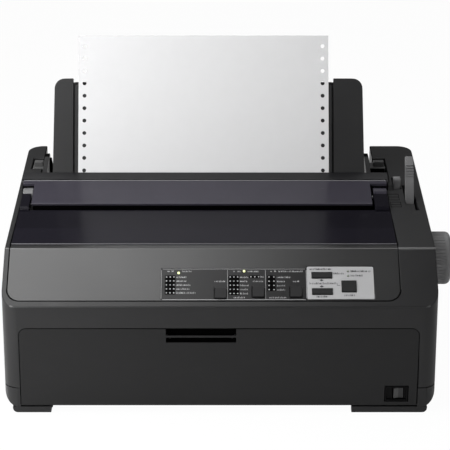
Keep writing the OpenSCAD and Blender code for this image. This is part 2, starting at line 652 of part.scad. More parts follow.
module release_lever() color([0.25, 0.25, 0.26]) {
    difference() {
        union() {
            along_x(release_x0, release_x0 + 7) polygon([
                [release_y - 4, release_z - 4], [release_y + 4, release_z - 4],
                    [release_y + 5, release_z + 26],
                [release_y + 3, release_z + 29], [release_y - 3, release_z + 29],
                    [release_y - 5, release_z + 26]]);
            bar_x(release_x0, release_x0 + 7, release_y, release_z, 6);
        }
        bar_x(release_x0 - 1, release_x0 + 8, release_y, release_z, 3 + run_fit);
    }
}
// Pins of the two levers, on brackets inside the right tower
module lever_bracket() color([0.62, 0.62, 0.64]) {
    along_x(bay_r + wall + seat, bay_r + wall + seat + 2) polygon([
        [lever_y - 20, floor_z + seat + 16.5], [release_y + 14, floor_z + seat + 16.5],
            [release_y + 10, release_z + 6],
        [release_y - 10, release_z + 6], [lever_y - 10, lever_z + 10]]);
    bar_x(bay_r + wall + seat + 1, lever_x0 + lever_w + 2, lever_y, lever_z, 3);
    bar_x(bay_r + wall + seat + 1, release_x0 + 9, release_y, release_z, 3);
    block(bay_r - 17, bay_r + wall + seat + 2, lever_y - 20, release_y + 14, floor_z + seat + 15,
        floor_z + seat + 16.6);
}

// Paper knob with grooves round its rim
knob_x0 = xr + 0.6;
module paper_knob() color([0.38, 0.38, 0.39]) {
    difference() {
        translate([knob_x0, platen_y, platen_z]) rotate([0, 90, 0]) rotate_extrude($fn = 96)
            polygon(concat([[shaft_r + 0.05, 0], [knob_r - 1, 0], [knob_r, 1]],
                arc(knob_r - 5, knob_l - 5.6, 5, 0, 90, 6),
                [[knob_r - 8, knob_l - 0.6], [knob_r - 9, knob_l - 2.2], [shaft_r + 3, knob_l - 2.2],
                 [shaft_r + 3, knob_l - 3.4], [shaft_r + 0.05, knob_l - 3.4]]));
        for (i = [0:47]) translate([0, platen_y, platen_z]) rotate([i*7.5, 0, 0])
            bar_x(knob_x0 + 1, knob_x0 + knob_l - 7, knob_r + 0.35, 0, 0.9);
    }
}

// Centres of the gear train, in a line from the platen to the rear tractor
train_a = 5.6;
PLATEN_TEETH = 32;
TRANSFER_TEETH = 20;
IDLER_TEETH = 28;
TRACTOR_TEETH = 16;
PINION_TEETH = 8;
function pitch_r(teeth) = teeth*tooth_m/2;
function beyond(p, d, a) = [p[0] + d*cos(a), p[1] + d*sin(a)];
platen_at = [platen_y, platen_z];
transfer_at = beyond(platen_at, pitch_r(PLATEN_TEETH) + pitch_r(TRANSFER_TEETH), train_a);
idler_at = beyond(transfer_at, pitch_r(TRANSFER_TEETH) + pitch_r(IDLER_TEETH), train_a);
tractor_at = beyond(idler_at, pitch_r(IDLER_TEETH) + pitch_r(TRACTOR_TEETH), train_a);
pinion_a = -60;
pinion_at = beyond(transfer_at, pitch_r(TRANSFER_TEETH) + pitch_r(PINION_TEETH), pinion_a);
pinch_r = 6;
pinch_at = beyond(platen_at, platen_r + pinch_r + seat, -70);
carriage_at = [-62, 90];
tractor_a = 15;
belt_r = 10;
guide_bar_at = beyond(tractor_at, (10*hole_pitch - 2*PI*belt_r)/2, tractor_a);
base_top = frame_z + plate_t;
stay_z = 78;
gear_x0 = frame_l - 9;
stud_r = 3;
journal_r = 3.4;
guide_bar_r = 4;
bush_r = 9;

tray_step = (frame_r - frame_l - 80)/4;
// Steel tray on the bosses of the base, with standoffs for the boards
module base_frame() color([0.66, 0.67, 0.68]) {
    difference() {
        block(frame_l - 10, frame_r + 10, -108, 128, frame_z, base_top);
        for (i = [0:4]) block(frame_l + 22 + i*tray_step, frame_l + 62 + i*tray_step, -70, -30,
            frame_z - 1, base_top + 1);
    }
    for (x = [frame_l + 12, frame_l + 72, frame_r - 90], y = [-18, 122]) translate([x, y, base_top - eps])
        cylinder(h = board_stand - base_top, r = 3.5, $fn = 48);
    for (x = [frame_r - 62, frame_r - 10], y = [10, 110]) translate([x, y, base_top - eps])
        cylinder(h = board_stand - base_top, r = 3.5, $fn = 48);
}
module side_plate(x) {
    difference() {
        along_x(x, x + plate_t) polygon([
            [-108, base_top], [128, base_top], [132, 60], [134, 136], [122, 142], [88, 142], [76, 130],
            [-44, 130], [-80, 116], [-110, 110]]);
        bar_x(x - 1, x + 3, platen_y, platen_z, bush_r);
        bar_x(x - 1, x + 3, carriage_at[0], carriage_at[1], carriage_shaft_r + 0.05);
        bar_x(x - 1, x + 3, pinch_at[0], pinch_at[1], 2.5 + run_fit);
        bar_x(x - 1, x + 3, tractor_at[0], tractor_at[1], journal_r + run_fit);
        bar_x(x - 1, x + 3, guide_bar_at[0], guide_bar_at[1], guide_bar_r + 0.05);
        along_x(x - 1, x + 3) polygon([[-58, 30], [-18, 30], [-18, 62], [-58, 62]]);
        along_x(x - 1, x + 3) polygon([[30, 30], [70, 30], [70, 62], [30, 62]]);
    }
    block(x > 0 ? x - 8 : x, x > 0 ? x + plate_t : x + 8 + plate_t, -106, -84, base_top,
        base_top + plate_t);
}
module left_frame() color([0.7, 0.71, 0.72]) {
    difference() {
        side_plate(frame_l);
        bar_x(frame_l - 1, frame_l + 3, pinion_at[0], pinion_at[1], 7.6);
    }
    for (p = [transfer_at, idler_at]) bar_x(gear_x0 - 1.5, frame_l + eps, p[0], p[1], stud_r);
}
module right_frame() color([0.7, 0.71, 0.72]) { side_plate(frame_r); }
module cross_stay() color([0.68, 0.69, 0.7]) {
    difference() {
        along_x(frame_l + plate_t + seat, frame_r - seat) polygon([
            [-112, stay_z], [-84, stay_z], [-84, stay_z + plate_t], [-112 + plate_t, stay_z + plate_t],
            [-112 + plate_t, stay_z + 12], [-112, stay_z + 12]]);
        bar_z(pulley_x0, pulley_y, stay_z - 1, stay_z + 3, 4);
    }
    bar_z(pulley_x1, pulley_y, stay_z + 1, stay_z + 14, 2.5);
}
module platen_shaft() color([0.75, 0.75, 0.77]) {
    bar_x(frame_l - 10.5, knob_x0 + knob_l - 3.4, platen_y, platen_z, shaft_r);
}
module platen_roller() color([0.07, 0.07, 0.07]) {
    difference() {
        bar_x(frame_l + 14, frame_r - 14, platen_y, platen_z, platen_r);
        bar_x(frame_l + 13, frame_r - 13, platen_y, platen_z, shaft_r + 0.02);
    }
}
module platen_bushes() color([0.85, 0.83, 0.76]) {
    for (s = [0, 1]) difference() {
        union() {
            bar_x([frame_l - 1, frame_r - 2][s], [frame_l + plate_t + 2, frame_r + plate_t + 1][s],
                platen_y, platen_z, bush_r - 0.05);
            bar_x([frame_l + plate_t + 0.1, frame_r - 2][s], [frame_l + plate_t + 2, frame_r - 0.1][s],
                platen_y, platen_z, bush_r + 3);
        }
        bar_x([frame_l - 3, frame_r - 3][s], [frame_l + 5, frame_r + 5][s], platen_y, platen_z,
            shaft_r + run_fit);
    }
}

// A spur gear whose teeth leave a little backlash, turned to an angle
module spur(teeth, turn) {
    r = pitch_r(teeth);
    step = 360/teeth;
    polygon([for (i = [0:teeth - 1]) for (c = [[-0.31, -1.15], [-0.2, 0], [-0.1, 0.8], [0.1, 0.8],
        [0.2, 0], [0.31, -1.15]])
        let (a = turn + step*(i + c[0])) [(r + c[1]*tooth_m)*cos(a), (r + c[1]*tooth_m)*sin(a)]]);
}
// Turn of a gear that meshes with one already placed: a is the direction between their centres
function mesh_turn(a, turn, teeth, next) =
    let (u = (a - turn)*teeth/360) a + 180 - (0.5 - u)*360/next;
transfer_turn = mesh_turn(train_a, 0, PLATEN_TEETH, TRANSFER_TEETH);
idler_turn = mesh_turn(train_a, transfer_turn, TRANSFER_TEETH, IDLER_TEETH);
tractor_turn = mesh_turn(train_a, idler_turn, IDLER_TEETH, TRACTOR_TEETH);
pinion_turn = mesh_turn(pinion_a, transfer_turn, TRANSFER_TEETH, PINION_TEETH);
module gear(at, teeth, turn, bore, hub) {
    difference() {
        union() {
            along_x(gear_x0, gear_x0 + gear_w) translate(at) spur(teeth, turn);
            bar_x(gear_x0 - 0.6, gear_x0 + gear_w + 2, at[0], at[1], hub);
        }
        bar_x(gear_x0 - 2, gear_x0 + gear_w + 3, at[0], at[1], bore);
        if (teeth > 18) for (i = [0:5]) bar_x(gear_x0 - 1, gear_x0 + gear_w + 1,
            at[0] + pitch_r(teeth)*0.62*cos(i*60 + 20), at[1] + pitch_r(teeth)*0.62*sin(i*60 + 20),
                pitch_r(teeth)*0.16);
    }
}
module platen_gear() color([0.9, 0.88, 0.8]) { gear(platen_at, PLATEN_TEETH, 0, shaft_r + 0.02, 8); }
module transfer_gear() color([0.9, 0.88, 0.8]) { gear(transfer_at, TRANSFER_TEETH, transfer_turn,
    stud_r + run_fit, 5.5); }
module idler_gear() color([0.9, 0.88, 0.8]) { gear(idler_at, IDLER_TEETH, idler_turn, stud_r + run_fit,
    5.5); }
module tractor_gear() color([0.9, 0.88, 0.8]) { gear(tractor_at, TRACTOR_TEETH, tractor_turn,
    journal_r + 0.02, 6); }
module feed_pinion() color([0.8, 0.68, 0.35]) {
    along_x(gear_x0, gear_x0 + gear_w) translate(pinion_at) spur(PINION_TEETH, pinion_turn);
    bar_x(gear_x0 + gear_w - eps, frame_l + plate_t + 1, pinion_at[0], pinion_at[1], 3.2);
    bar_x(gear_x0 - 0.5, frame_l + 28, pinion_at[0], pinion_at[1], 2);
}
motor_len = 28;
module feed_motor() {
    x = frame_l + plate_t;
    difference() {
        union() {
            bar_x(x + 1.4, x + motor_len, pinion_at[0], pinion_at[1], 17);
            along_x(x, x + 1.5) translate(pinion_at) polygon(concat(
                arc(0, 24, 5, 30, 150), arc(0, -24, 5, 210, 330)));
        }
        bar_x(x - 1, x + 2, pinion_at[0], pinion_at[1], 5);
        bar_x(x - 1, x + motor_len + 1, pinion_at[0], pinion_at[1], 2 + run_fit);
    }
}
pinch_step = (frame_r - frame_l - 67)/5;
module pinch_roller() color([0.1, 0.1, 0.1]) {
    bar_x(frame_l - 1, frame_r + plate_t + 1, pinch_at[0], pinch_at[1], 2.5);
    for (i = [0:5]) bar_x(frame_l + 32 + i*pinch_step, frame_l + 50 + i*pinch_step, pinch_at[0],
        pinch_at[1], pinch_r);
}
// Curved chute under the platen
module paper_chute() color([0.5, 0.5, 0.52]) {
    along_x(frame_l + plate_t + seat, frame_r - seat)
        polygon(concat(arc(platen_y, platen_z, 31, 215, 318, 20),
            arc(platen_y, platen_z, 32.6, 318, 215, 20)));
    rear_paper_guide();
}
module rear_paper_guide() {
    x0 = frame_l + plate_t + motor_len + 2;
    rib_step = (frame_r - x0 - 40)/8;
    along_x(x0, frame_r - seat) polygon([
        [10, 88], [12, 88], [34, 104], [tractor_at[0] - 14, tractor_at[1] - 3],
            [tractor_at[0] - 14, tractor_at[1] - 5], [34, 102], [12, 85.5], [10, 85.5]]);
    for (i = [0:8]) along_x(x0 + 8 + i*rib_step, x0 + 10 + i*rib_step)
        polygon([[14, 87], [34, 101.6], [70, 112], [34, 96]]);
}

// Carriage and what rides on it, drawn at the left of its travel
home_x = frame_l + 72;
pulley_x0 = frame_l + 23;
pulley_x1 = frame_r - 16;
pulley_y = -98;
pulley_r = 8;
belt_t = 1.2;
belt_z = stay_z + plate_t + 4;
belt_h = 5;
run_y = pulley_y + pulley_r + belt_t/2;
shaft_y = carriage_at[0];
shaft_z = carriage_at[1];
head_z = shaft_z + 10;
nose_y = platen_y - platen_r - 1.8;
module carriage() color([0.12, 0.12, 0.13]) {
    difference() {
        union() {
            block(home_x - 24, home_x + 24, shaft_y - 12, shaft_y + 12, shaft_z - 8, head_z);
            for (s = [-1, 1]) block(home_x + 22*s - 2, home_x + 22*s + 2, shaft_y - 16, shaft_y - 6,
                head_z - 2, head_z + 11.7);
            block(home_x - 6, home_x + 6, run_y - 4, shaft_y - 11, belt_z + belt_h + 3,
                belt_z + belt_h + 6);
            for (s = [-1, 1]) block(home_x - 6, home_x + 6, run_y + 2.3*s - 1.4, run_y + 2.3*s + 1.4,
                belt_z - 1, belt_z + belt_h + 4);
        }
        bar_x(home_x - 25, home_x + 25, shaft_y, shaft_z, carriage_shaft_r + run_fit);
        block(home_x - 14, home_x + 14, shaft_y - 13, shaft_y + 13, shaft_z - 9, shaft_z - 3);
    }
}
module carriage_shaft() {
    bar_x(frame_l - 1.5, frame_r + plate_t + 1.5, shaft_y, shaft_z, carriage_shaft_r);
}
module print_head() color([0.55, 0.55, 0.57]) {
    block(home_x - 15, home_x + 15, shaft_y - 5, shaft_y + 12, head_z, head_z + 5);
    translate([home_x, shaft_y + 8, head_z + 13]) rotate([90, 0, 0]) {
        translate([0, 0, -4]) cylinder(h = 18, r = 10, $fn = 64);
        for (i = [0:5]) translate([0, 0, -1 + i*2.6]) cylinder(h = 1.2, r = 12.6, $fn = 64);
    }
    along_x(home_x - 6, home_x + 6) polygon([
        [shaft_y + 11, head_z + 6], [nose_y, head_z + 8], [nose_y, head_z + 16],
            [shaft_y + 11, head_z + 20]]);
    block(home_x - 15, home_x + 15, shaft_y + 4, shaft_y + 8, head_z + 4, head_z + 6);
}
ribbon_x = 36;
module ribbon_cartridge() color([0.09, 0.09, 0.1]) {
    z0 = head_z + 12;
    x0 = home_x - cartridge_w/2;
    x1 = home_x + cartridge_w/2;
    difference() {
        translate([0, 0, z0]) linear_extrude(13)
            polygon(round_rect(x0, x1, shaft_y - 34, shaft_y - 8, 4));
        for (i = [0:6]) block(x0 + 12 + i*11, x0 + 14 + i*11, shaft_y - 30, shaft_y - 13, z0 + 12,
            z0 + 14);
    }
    for (s = [0, 1]) translate([0, 0, z0]) linear_extrude(10) polygon([
        [[x0 + 1, x1 - 1][s], shaft_y - 10], [[x0 + 14, x1 - 14][s], shaft_y - 10],
        [home_x + (s*2 - 1)*(ribbon_x + 0.4), nose_y - 6],
            [home_x + (s*2 - 1)*(ribbon_x + 0.4), nose_y + 0.9],
        [home_x + (s*2 - 1)*(ribbon_x + 6), nose_y + 0.9], [[x0, x1][s], shaft_y + 12]]);
    translate([x0 + 16, shaft_y - 22, z0 + 13 - eps]) difference() {
        cylinder(h = 3, r = 7, $fn = 64);
        for (i = [0:11]) rotate([0, 0, i*30]) translate([7.2, 0, -1]) cylinder(h = 6, r = 0.9, $fn = 24);
    }
}
module ribbon() color([0.04, 0.04, 0.05]) {
    block(home_x - ribbon_x, home_x + ribbon_x, nose_y + 0.5, nose_y + 0.7, head_z + 9.5, head_z + 21);
}
module pulley(x) {
    translate([x, pulley_y, belt_z - 1.5]) difference() {
        union() {
            cylinder(h = 1.2, r = pulley_r + 1.6, $fn = 64);
            linear_extrude(belt_h + 3) polygon([for (i = [0:39]) let (r = pulley_r - (i % 2)*0.5)
                for (c = [0.2, 0.8]) [r*cos((i + c)*9), r*sin((i + c)*9)]]);
            translate([0, 0, belt_h + 1.8]) cylinder(h = 1.2, r = pulley_r + 1.6, $fn = 64);
        }
        translate([0, 0, -1]) cylinder(h = 12, r = 2.5 + run_fit, $fn = 48);
    }
}
module motor_pulley() color([0.82, 0.8, 0.72]) {
    pulley(pulley_x0);
    difference() {
        bar_z(pulley_x0, pulley_y, stay_z - 6, belt_z + belt_h + 2, 2.5 + run_fit);
        bar_z(pulley_x0, pulley_y, stay_z - 7, belt_z + belt_h + 3, 1);
    }
}
module idler_pulley() color([0.82, 0.8, 0.72]) { pulley(pulley_x1); }
module carriage_motor() {
    difference() {
        union() {
            bar_z(pulley_x0, pulley_y, stay_z - 36, stay_z - 1.5, 15);
            translate([pulley_x0, pulley_y, stay_z - 1.5]) linear_extrude(1.5)
                polygon(round_rect(-17, 17, -13.5, 13.5, 4));
        }
        bar_z(pulley_x0, pulley_y, stay_z - 7, stay_z + 1, 2.5 + 2*run_fit);
    }
}
module motors() color([0.28, 0.28, 0.3]) {
    feed_motor();
    carriage_motor();
}
module drive_belt() color([0.06, 0.06, 0.06]) {
    translate([0, 0, belt_z]) linear_extrude(belt_h) difference() {
        polygon(concat(arc(pulley_x0, pulley_y, pulley_r + belt_t, 90, 270, 24),
            arc(pulley_x1, pulley_y, pulley_r + belt_t, -90, 90, 24)));
        polygon(concat(arc(pulley_x0, pulley_y, pulley_r + 0.15, 90, 270, 24),
            arc(pulley_x1, pulley_y, pulley_r + 0.15, -90, 90, 24)));
    }
}

// Rear tractor: square drive shaft, guide bar and two tractors with pins on their belts
left_tractor_x = sheet_x0 + 6;
right_tractor_x = sheet_x0 + paper_w - 6;
module on_tractor(x) {
    translate([x, tractor_at[0], tractor_at[1]]) rotate([tractor_a, 0, 0]) children();
}
tractor_gap = norm(guide_bar_at - tractor_at);
module stadium(r) {
    polygon(concat(arc(tractor_gap, 0, r, -90, 90, 20), arc(0, 0, r, 90, 270, 20)));
}
module tractor_shaft() color([0.72, 0.72, 0.74]) {
    bar_x(gear_x0 - 1, frame_r + plate_t + 1.5, tractor_at[0], tractor_at[1], journal_r);
    along_x(frame_l + plate_t + 1, frame_r - 1) translate(tractor_at) rotate(train_a + 20)
        square(square_side, center = true);
}
module guide_bar() {
    bar_x(frame_l - 1.5, frame_r + plate_t + 1.5, guide_bar_at[0], guide_bar_at[1], guide_bar_r);
}
module guide_shafts() color([0.8, 0.8, 0.82]) {
    carriage_shaft();
    guide_bar();
}
// Body of one tractor: two cheeks joined between the runs of the belt, with the lid's hinge ears on one side
module tractor_body(x, side) {
    on_tractor(x) difference() {
        union() {
            for (s = [0, 1]) along_x([-tractor_w/2, 3.4][s], [-3.4, tractor_w/2][s])
                stadium(belt_r - 0.6);
            block(-4, 4, 11, tractor_gap - 6, -belt_r + 1.4, belt_r - 1.4);
            for (y = [0, tractor_gap - 8]) block(side > 0 ? tractor_w/2 - 3 : -tractor_w/2,
                side > 0 ? tractor_w/2 : 3 - tractor_w/2, y, y + 5, 0, lid_lift + 1.6);
        }
        bar_x(-20, 20, 0, 0, square_side*0.75);
        bar_x(-20, 20, tractor_gap, 0, guide_bar_r + run_fit);
        translate([side*(tractor_w/2 - 1.5), -1, lid_lift]) rotate([-90, 0, 0])
            cylinder(h = tractor_gap + 2, r = 0.8 + run_fit, $fn = 32);
    }
    pin_belt(x);
}
// Pinned belt round the body, with the ring that its drive end runs on
module pin_belt(x) {
    on_tractor(x) {
        along_x(-3.5, 3.5) difference() {
            stadium(belt_r + 0.2);
            stadium(belt_r - 0.9);
        }
        along_x(-3.5, 3.5) difference() {
            circle(r = belt_r - 0.8, $fn = 64);
            circle(r = square_side*0.75, $fn = 64);
        }
        for (i = [0:2], s = [0, 1]) translate([0, tractor_gap/2 + (i - 1)*hole_pitch, (1 - 2*s)*belt_r])
            rotate([180*s, 0, 0]) cylinder(h = 2.6, r1 = 1.9, r2 = 1.2, $fn = 32);
    }
}
lid_lift = belt_r + 3.8;
module left_tractor() color([0.15, 0.15, 0.16]) { tractor_body(left_tractor_x, -1); }
module right_tractor() color([0.15, 0.15, 0.16]) { tractor_body(right_tractor_x, 1); }
module tractor_lid(x, side) {
    on_tractor(x) {
        difference() {
            union() {
                block(-tractor_w/2 + (side < 0 ? 4.4 : -3), tractor_w/2 - (side > 0 ? 4.4 : -3), -6,
                    tractor_gap + 8, lid_lift - 0.8, lid_lift + 0.8);
                for (y = [6, tractor_gap - 14]) block(side > 0 ? 2 : 1.5 - tractor_w/2, side > 0 ?
                    tractor_w/2 - 1.5 : -2, y, y + 5, lid_lift - 0.8, lid_lift + 0.8);
            }
            block(-2.6, 2.6, tractor_gap/2 - 18, tractor_gap/2 + 18, lid_lift - 2, lid_lift + 2);
        }
        translate([side*(tractor_w/2 - 1.5), 0.4, lid_lift]) rotate([-90, 0, 0])
            cylinder(h = tractor_gap - 3.8, r = 0.8, $fn = 32);
    }
}
module left_tractor_lid() color([0.6, 0.6, 0.6]) { tractor_lid(left_tractor_x, -1); }
module right_tractor_lid() color([0.6, 0.6, 0.6]) { tractor_lid(right_tractor_x, 1); }

// Electronics on the tray
module main_board() color([0.08, 0.3, 0.14]) {
    z = board_stand + 1.6;
    block(frame_l + 8, frame_r - 86, -22, 127, board_stand, z);
    for (c = [[frame_l + 52, 20, 28, 28], [frame_l + 102, 30, 22, 12], [frame_l + 102, 60, 22, 12],
        [frame_l + 142, 25, 16, 16], [frame_r - 130, 70, 30, 10]])
        block(c[0], c[0] + c[2], c[1], c[1] + c[3], z - eps, z + 2.5);
    for (x = [frame_l + 32, frame_l + 46, frame_r - 120, frame_r - 104]) translate([x, 100, z - eps])
        cylinder(h = 16, r = 5, $fn = 48);
    for (x = [frame_l + 22, frame_l + 62, frame_l + 102]) block(x, x + 26, -18, -12, z - eps, z + 9);
}
supply_x = frame_r - 68;
module power_supply() color([0.6, 0.62, 0.63]) {
    difference() {
        block(supply_x, frame_r - 4, 0, 118, board_stand, 56);
        block(supply_x + 1.5, frame_r - 5.5, 1.5, 116.5, board_stand + 1.5, 57);
        for (i = [0:7]) block(supply_x - 1, frame_r, 16 + i*12, 21 + i*12, 26, 46);
    }
    block(supply_x + 1.5 - eps, frame_r - 5.5 + eps, 1.5, 116.5, 54.4, 56);
    for (y = [24, 80]) block(supply_x + 18, supply_x + 50, y, y + 26, board_stand + 1, 42);
}
module ac_inlet() color([0.06, 0.06, 0.07]) {
    x0 = inlet_x0 + seat;
    x1 = inlet_x1 - seat;
    difference() {
        union() {
            block(x0, x1, yr - 20, yr + 0.5, socket_z - 9.7, socket_z + 9.7);
            block(x0 - 1.5, x1 + 1.5, yr - wall - 2, yr - wall - seat, socket_z - 12, socket_z + 12);
        }
        block(x0 + 2, x1 - 2, yr - 15, yr + 1, socket_z - 7, socket_z + 7);
    }
    for (x = [-7, 0, 7]) block((x0 + x1)/2 + x - 1, (x0 + x1)/2 + x + 1, yr - 16, yr - 3,
        socket_z - (x == 0 ? 1 : -1) - 2, socket_z - (x == 0 ? 1 : -1) + 2);
}
module interface_sockets() color([0.72, 0.73, 0.75]) {
    z1 = board_stand + 1.6;
    difference() {
        union() {
            block(port_x - 29, port_x + 29, yr - 20, yr - 0.4, socket_z - 6.5, socket_z + 6.5);
            block(port_x - 18, port_x + 18, yr - 32, yr - 19, socket_z - 5, socket_z + 5);
        }
        block(port_x - 25, port_x + 25, yr - 8, yr + 1, socket_z - 4.2, socket_z + 4.2);
    }
    block(port_x - 22, port_x + 22, yr - 6, yr - 2, socket_z - 1.6, socket_z + 1.6);
    block(port_x - 22, port_x + 22, yr - 9, yr - 5, socket_z - 2, socket_z + 2);
    block(port_x - 12, port_x + 12, yr - 31, yr - 25, z1 + 0.3, socket_z);
    difference() {
        block(usb_x - 6, usb_x + 6, yr - 18, yr - 0.4, socket_z - 5.5, socket_z + 5.5);
        block(usb_x - 4.5, usb_x + 4.5, yr - 12, yr + 1, socket_z - 4, socket_z + 4);
    }
    block(usb_x - 2.5, usb_x + 2.5, yr - 13, yr - 4, socket_z - 1.5, socket_z + 1.5);
    block(usb_x - 3.5, usb_x + 3.5, yr - 30, yr - 17, socket_z - 4, socket_z);
    block(usb_x - 3.5, usb_x + 3.5, yr - 30, yr - 24, z1 + 0.3, socket_z);
}

lower_housing();
rubber_feet();
upper_housing();
rear_deck();
paper_cover();
printer_cover();
cover_hinge_pins();
tear_off_bar();
control_panel();
key_plate();
tear_off_key();
font_key();
pitch_key();
load_key();
line_feed_key();
pause_key();
panel_board();
panel_lamps();
front_cover();
switch_housing();
power_rocker();
sheet_guide();
paper_form();
thickness_lever();
release_lever();
lever_bracket();
paper_knob();
base_frame();
left_frame();
right_frame();
cross_stay();
platen_shaft();
platen_roller();
platen_bushes();
platen_gear();
transfer_gear();
idler_gear();
tractor_gear();
feed_pinion();
motors();
guide_shafts();
pinch_roller();
paper_chute();
carriage();
print_head();
ribbon_cartridge();
ribbon();
motor_pulley();
idler_pulley();
drive_belt();
tractor_shaft();
left_tractor();
right_tractor();
left_tractor_lid();
right_tractor_lid();
main_board();
power_supply();
ac_inlet();
interface_sockets();
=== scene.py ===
"""The dressed dot matrix printer: finishes, softened edges, printed marks, camera and studio."""
import json
import math
import random

import bmesh
import bpy
from mathutils import Matrix, Vector


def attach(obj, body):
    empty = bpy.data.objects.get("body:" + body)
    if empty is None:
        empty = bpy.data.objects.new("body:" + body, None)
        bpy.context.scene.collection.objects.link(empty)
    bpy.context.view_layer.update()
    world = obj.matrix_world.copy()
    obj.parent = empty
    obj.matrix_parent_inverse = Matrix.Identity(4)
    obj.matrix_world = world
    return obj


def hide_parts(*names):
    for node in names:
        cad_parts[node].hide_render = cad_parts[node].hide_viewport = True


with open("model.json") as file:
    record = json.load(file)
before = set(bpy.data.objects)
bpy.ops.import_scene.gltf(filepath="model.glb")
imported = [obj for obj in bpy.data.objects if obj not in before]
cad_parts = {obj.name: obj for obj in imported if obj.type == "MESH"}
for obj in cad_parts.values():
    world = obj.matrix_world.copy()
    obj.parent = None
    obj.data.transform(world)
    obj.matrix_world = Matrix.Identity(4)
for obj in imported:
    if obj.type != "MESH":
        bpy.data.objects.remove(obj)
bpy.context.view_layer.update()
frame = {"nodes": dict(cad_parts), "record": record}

PRINT_SEED = 24
CHANCE = random.Random(PRINT_SEED)
NODES = frame["nodes"]
RECORD = frame["record"]
BODY_OF = {node: body for body, members in RECORD["behaviour"]["bodies"].items() for node in members}
SLOT_OF = {entry["node"]: entry["material_slot"] for entry in RECORD["subparts"]}
MM = 0.001


# ---------------------------------------------------------------- camera
PICTURE_W = 450
PRINCIPAL_X = 220
FOCAL_PX = 1837.3
SENSOR_MM = 36.0
CAMERA_AT = (0.0, -1.7257, 0.7292)
LOOK_DOWN = math.radians(19)
NEAREST = 0.05


def place_camera():
    """Set the camera and its lens."""
    lens = bpy.data.cameras.new("camera")
    lens.sensor_width = SENSOR_MM
    lens.lens = FOCAL_PX * SENSOR_MM / PICTURE_W
    lens.shift_x = (PICTURE_W / 2 - PRINCIPAL_X) / PICTURE_W
    lens.clip_start = NEAREST
    camera = bpy.data.objects.new("camera", lens)
    camera.location = CAMERA_AT
    camera.rotation_euler = (math.pi / 2 - LOOK_DOWN, 0, 0)
    bpy.context.scene.collection.objects.link(camera)
    bpy.context.scene.camera = camera


place_camera()


# ---------------------------------------------------------------- shader sums
NOISE_ROUGHNESS = 0.55


class Wire:
    """A socket that adds a Math node when it is used in a sum."""

    def __init__(self, finish, socket):
        self.finish = finish
        self.socket = socket

    def sum(self, operation, other, turned=False):
        """Join this socket with another, or with a number, in a Math node."""
        pair = (other, self) if turned else (self, other)
        return self.finish.node("ShaderNodeMath", {"operation": operation}, {0: pair[0], 1: pair[1]})

    def __add__(self, other):
        return self.sum("ADD", other)

    def __radd__(self, other):
        return self.sum("ADD", other)

    def __sub__(self, other):
        return self.sum("SUBTRACT", other)

    def __rsub__(self, other):
        return self.sum("SUBTRACT", other, turned=True)

    def __mul__(self, other):
        return self.sum("MULTIPLY", other)

    def __rmul__(self, other):
        return self.sum("MULTIPLY", other)


class Finish:
    """One material, made from nodes round a Principled shader."""

    def __init__(self, name, **fixed):
        self.material = bpy.data.materials.new(name)
        self.material.use_nodes = True
        self.tree = self.material.node_tree
        self.shader = self.tree.nodes["Principled BSDF"]
        for socket, value in fixed.items():
            self.shader.inputs[socket.replace("_", " ")].default_value = value

    def node(self, kind, settings=None, sockets=None, out=0):
        """Add a node, set it up and give back one of its outputs."""
        made = self.tree.nodes.new(kind)
        for key, value in (settings or {}).items():
            if key == "stops":
                ramp = made.color_ramp
                ramp.elements[0].position, ramp.elements[0].color = value[0]
                ramp.elements[1].position, ramp.elements[1].color = value[-1]
                for position, colour in value[1:-1]:
                    ramp.elements.new(position).color = colour
            else:
                setattr(made, key, value)
        for key, value in (sockets or {}).items():
            socket = made.inputs[key]
            if isinstance(value, Wire):
                self.tree.links.new(value.socket, socket)
            else:
                socket.default_value = (*value, 1.0) if socket.type == "RGBA" and len(value) == 3 else value
        return Wire(self, made.outputs[out])

    def place(self, stretch=(1, 1, 1)):
        """The piece's own coordinates, in metres; a larger factor packs a pattern closer along its axis."""
        where = self.node("ShaderNodeTexCoord", out="Object")
        return self.node("ShaderNodeMapping", {}, {"Vector": where, "Scale": stretch})

    def noise(self, size, detail, stretch=(1, 1, 1)):
        """A cloudy pattern whose patches are about this size, in metres."""
        return self.node("ShaderNodeTexNoise", {}, {
            "Vector": self.place(stretch), "Scale": 1 / size, "Detail": detail,
            "Roughness": NOISE_ROUGHNESS})

    def cells(self, size):
        """A pattern of round cells, by the distance to the nearest middle."""
        return self.node("ShaderNodeTexVoronoi", {}, {"Vector": self.place(), "Scale": 1 / size})

    def ramp(self, wire, low, high):
        """Stretch the range from low to high over 0 to 1."""
        return self.node("ShaderNodeMapRange", {}, {"Value": wire, "From Min": low, "From Max": high})

    def blend(self, factor, first, second):
        """A mix of two colours."""
        return self.node("ShaderNodeMix", {"data_type": "RGBA"}, {0: factor, 6: first, 7: second}, out=2)

    def bump(self, height, depth):
        """A relief of the surface, with its depth in metres."""
        return self.node("ShaderNodeBump", {}, {"Height": height, "Distance": depth, "Strength": 1.0})

    def feed(self, **wires):
        """Wire the sockets of the shader and give back the finished material."""
        for socket, wire in wires.items():
            self.tree.links.new(wire.socket, self.shader.inputs[socket.replace("_", " ")])
        return self.material


def shade(colour, factor):
    """A colour made darker or lighter."""
    return tuple(min(1.0, c * factor) for c in colour)


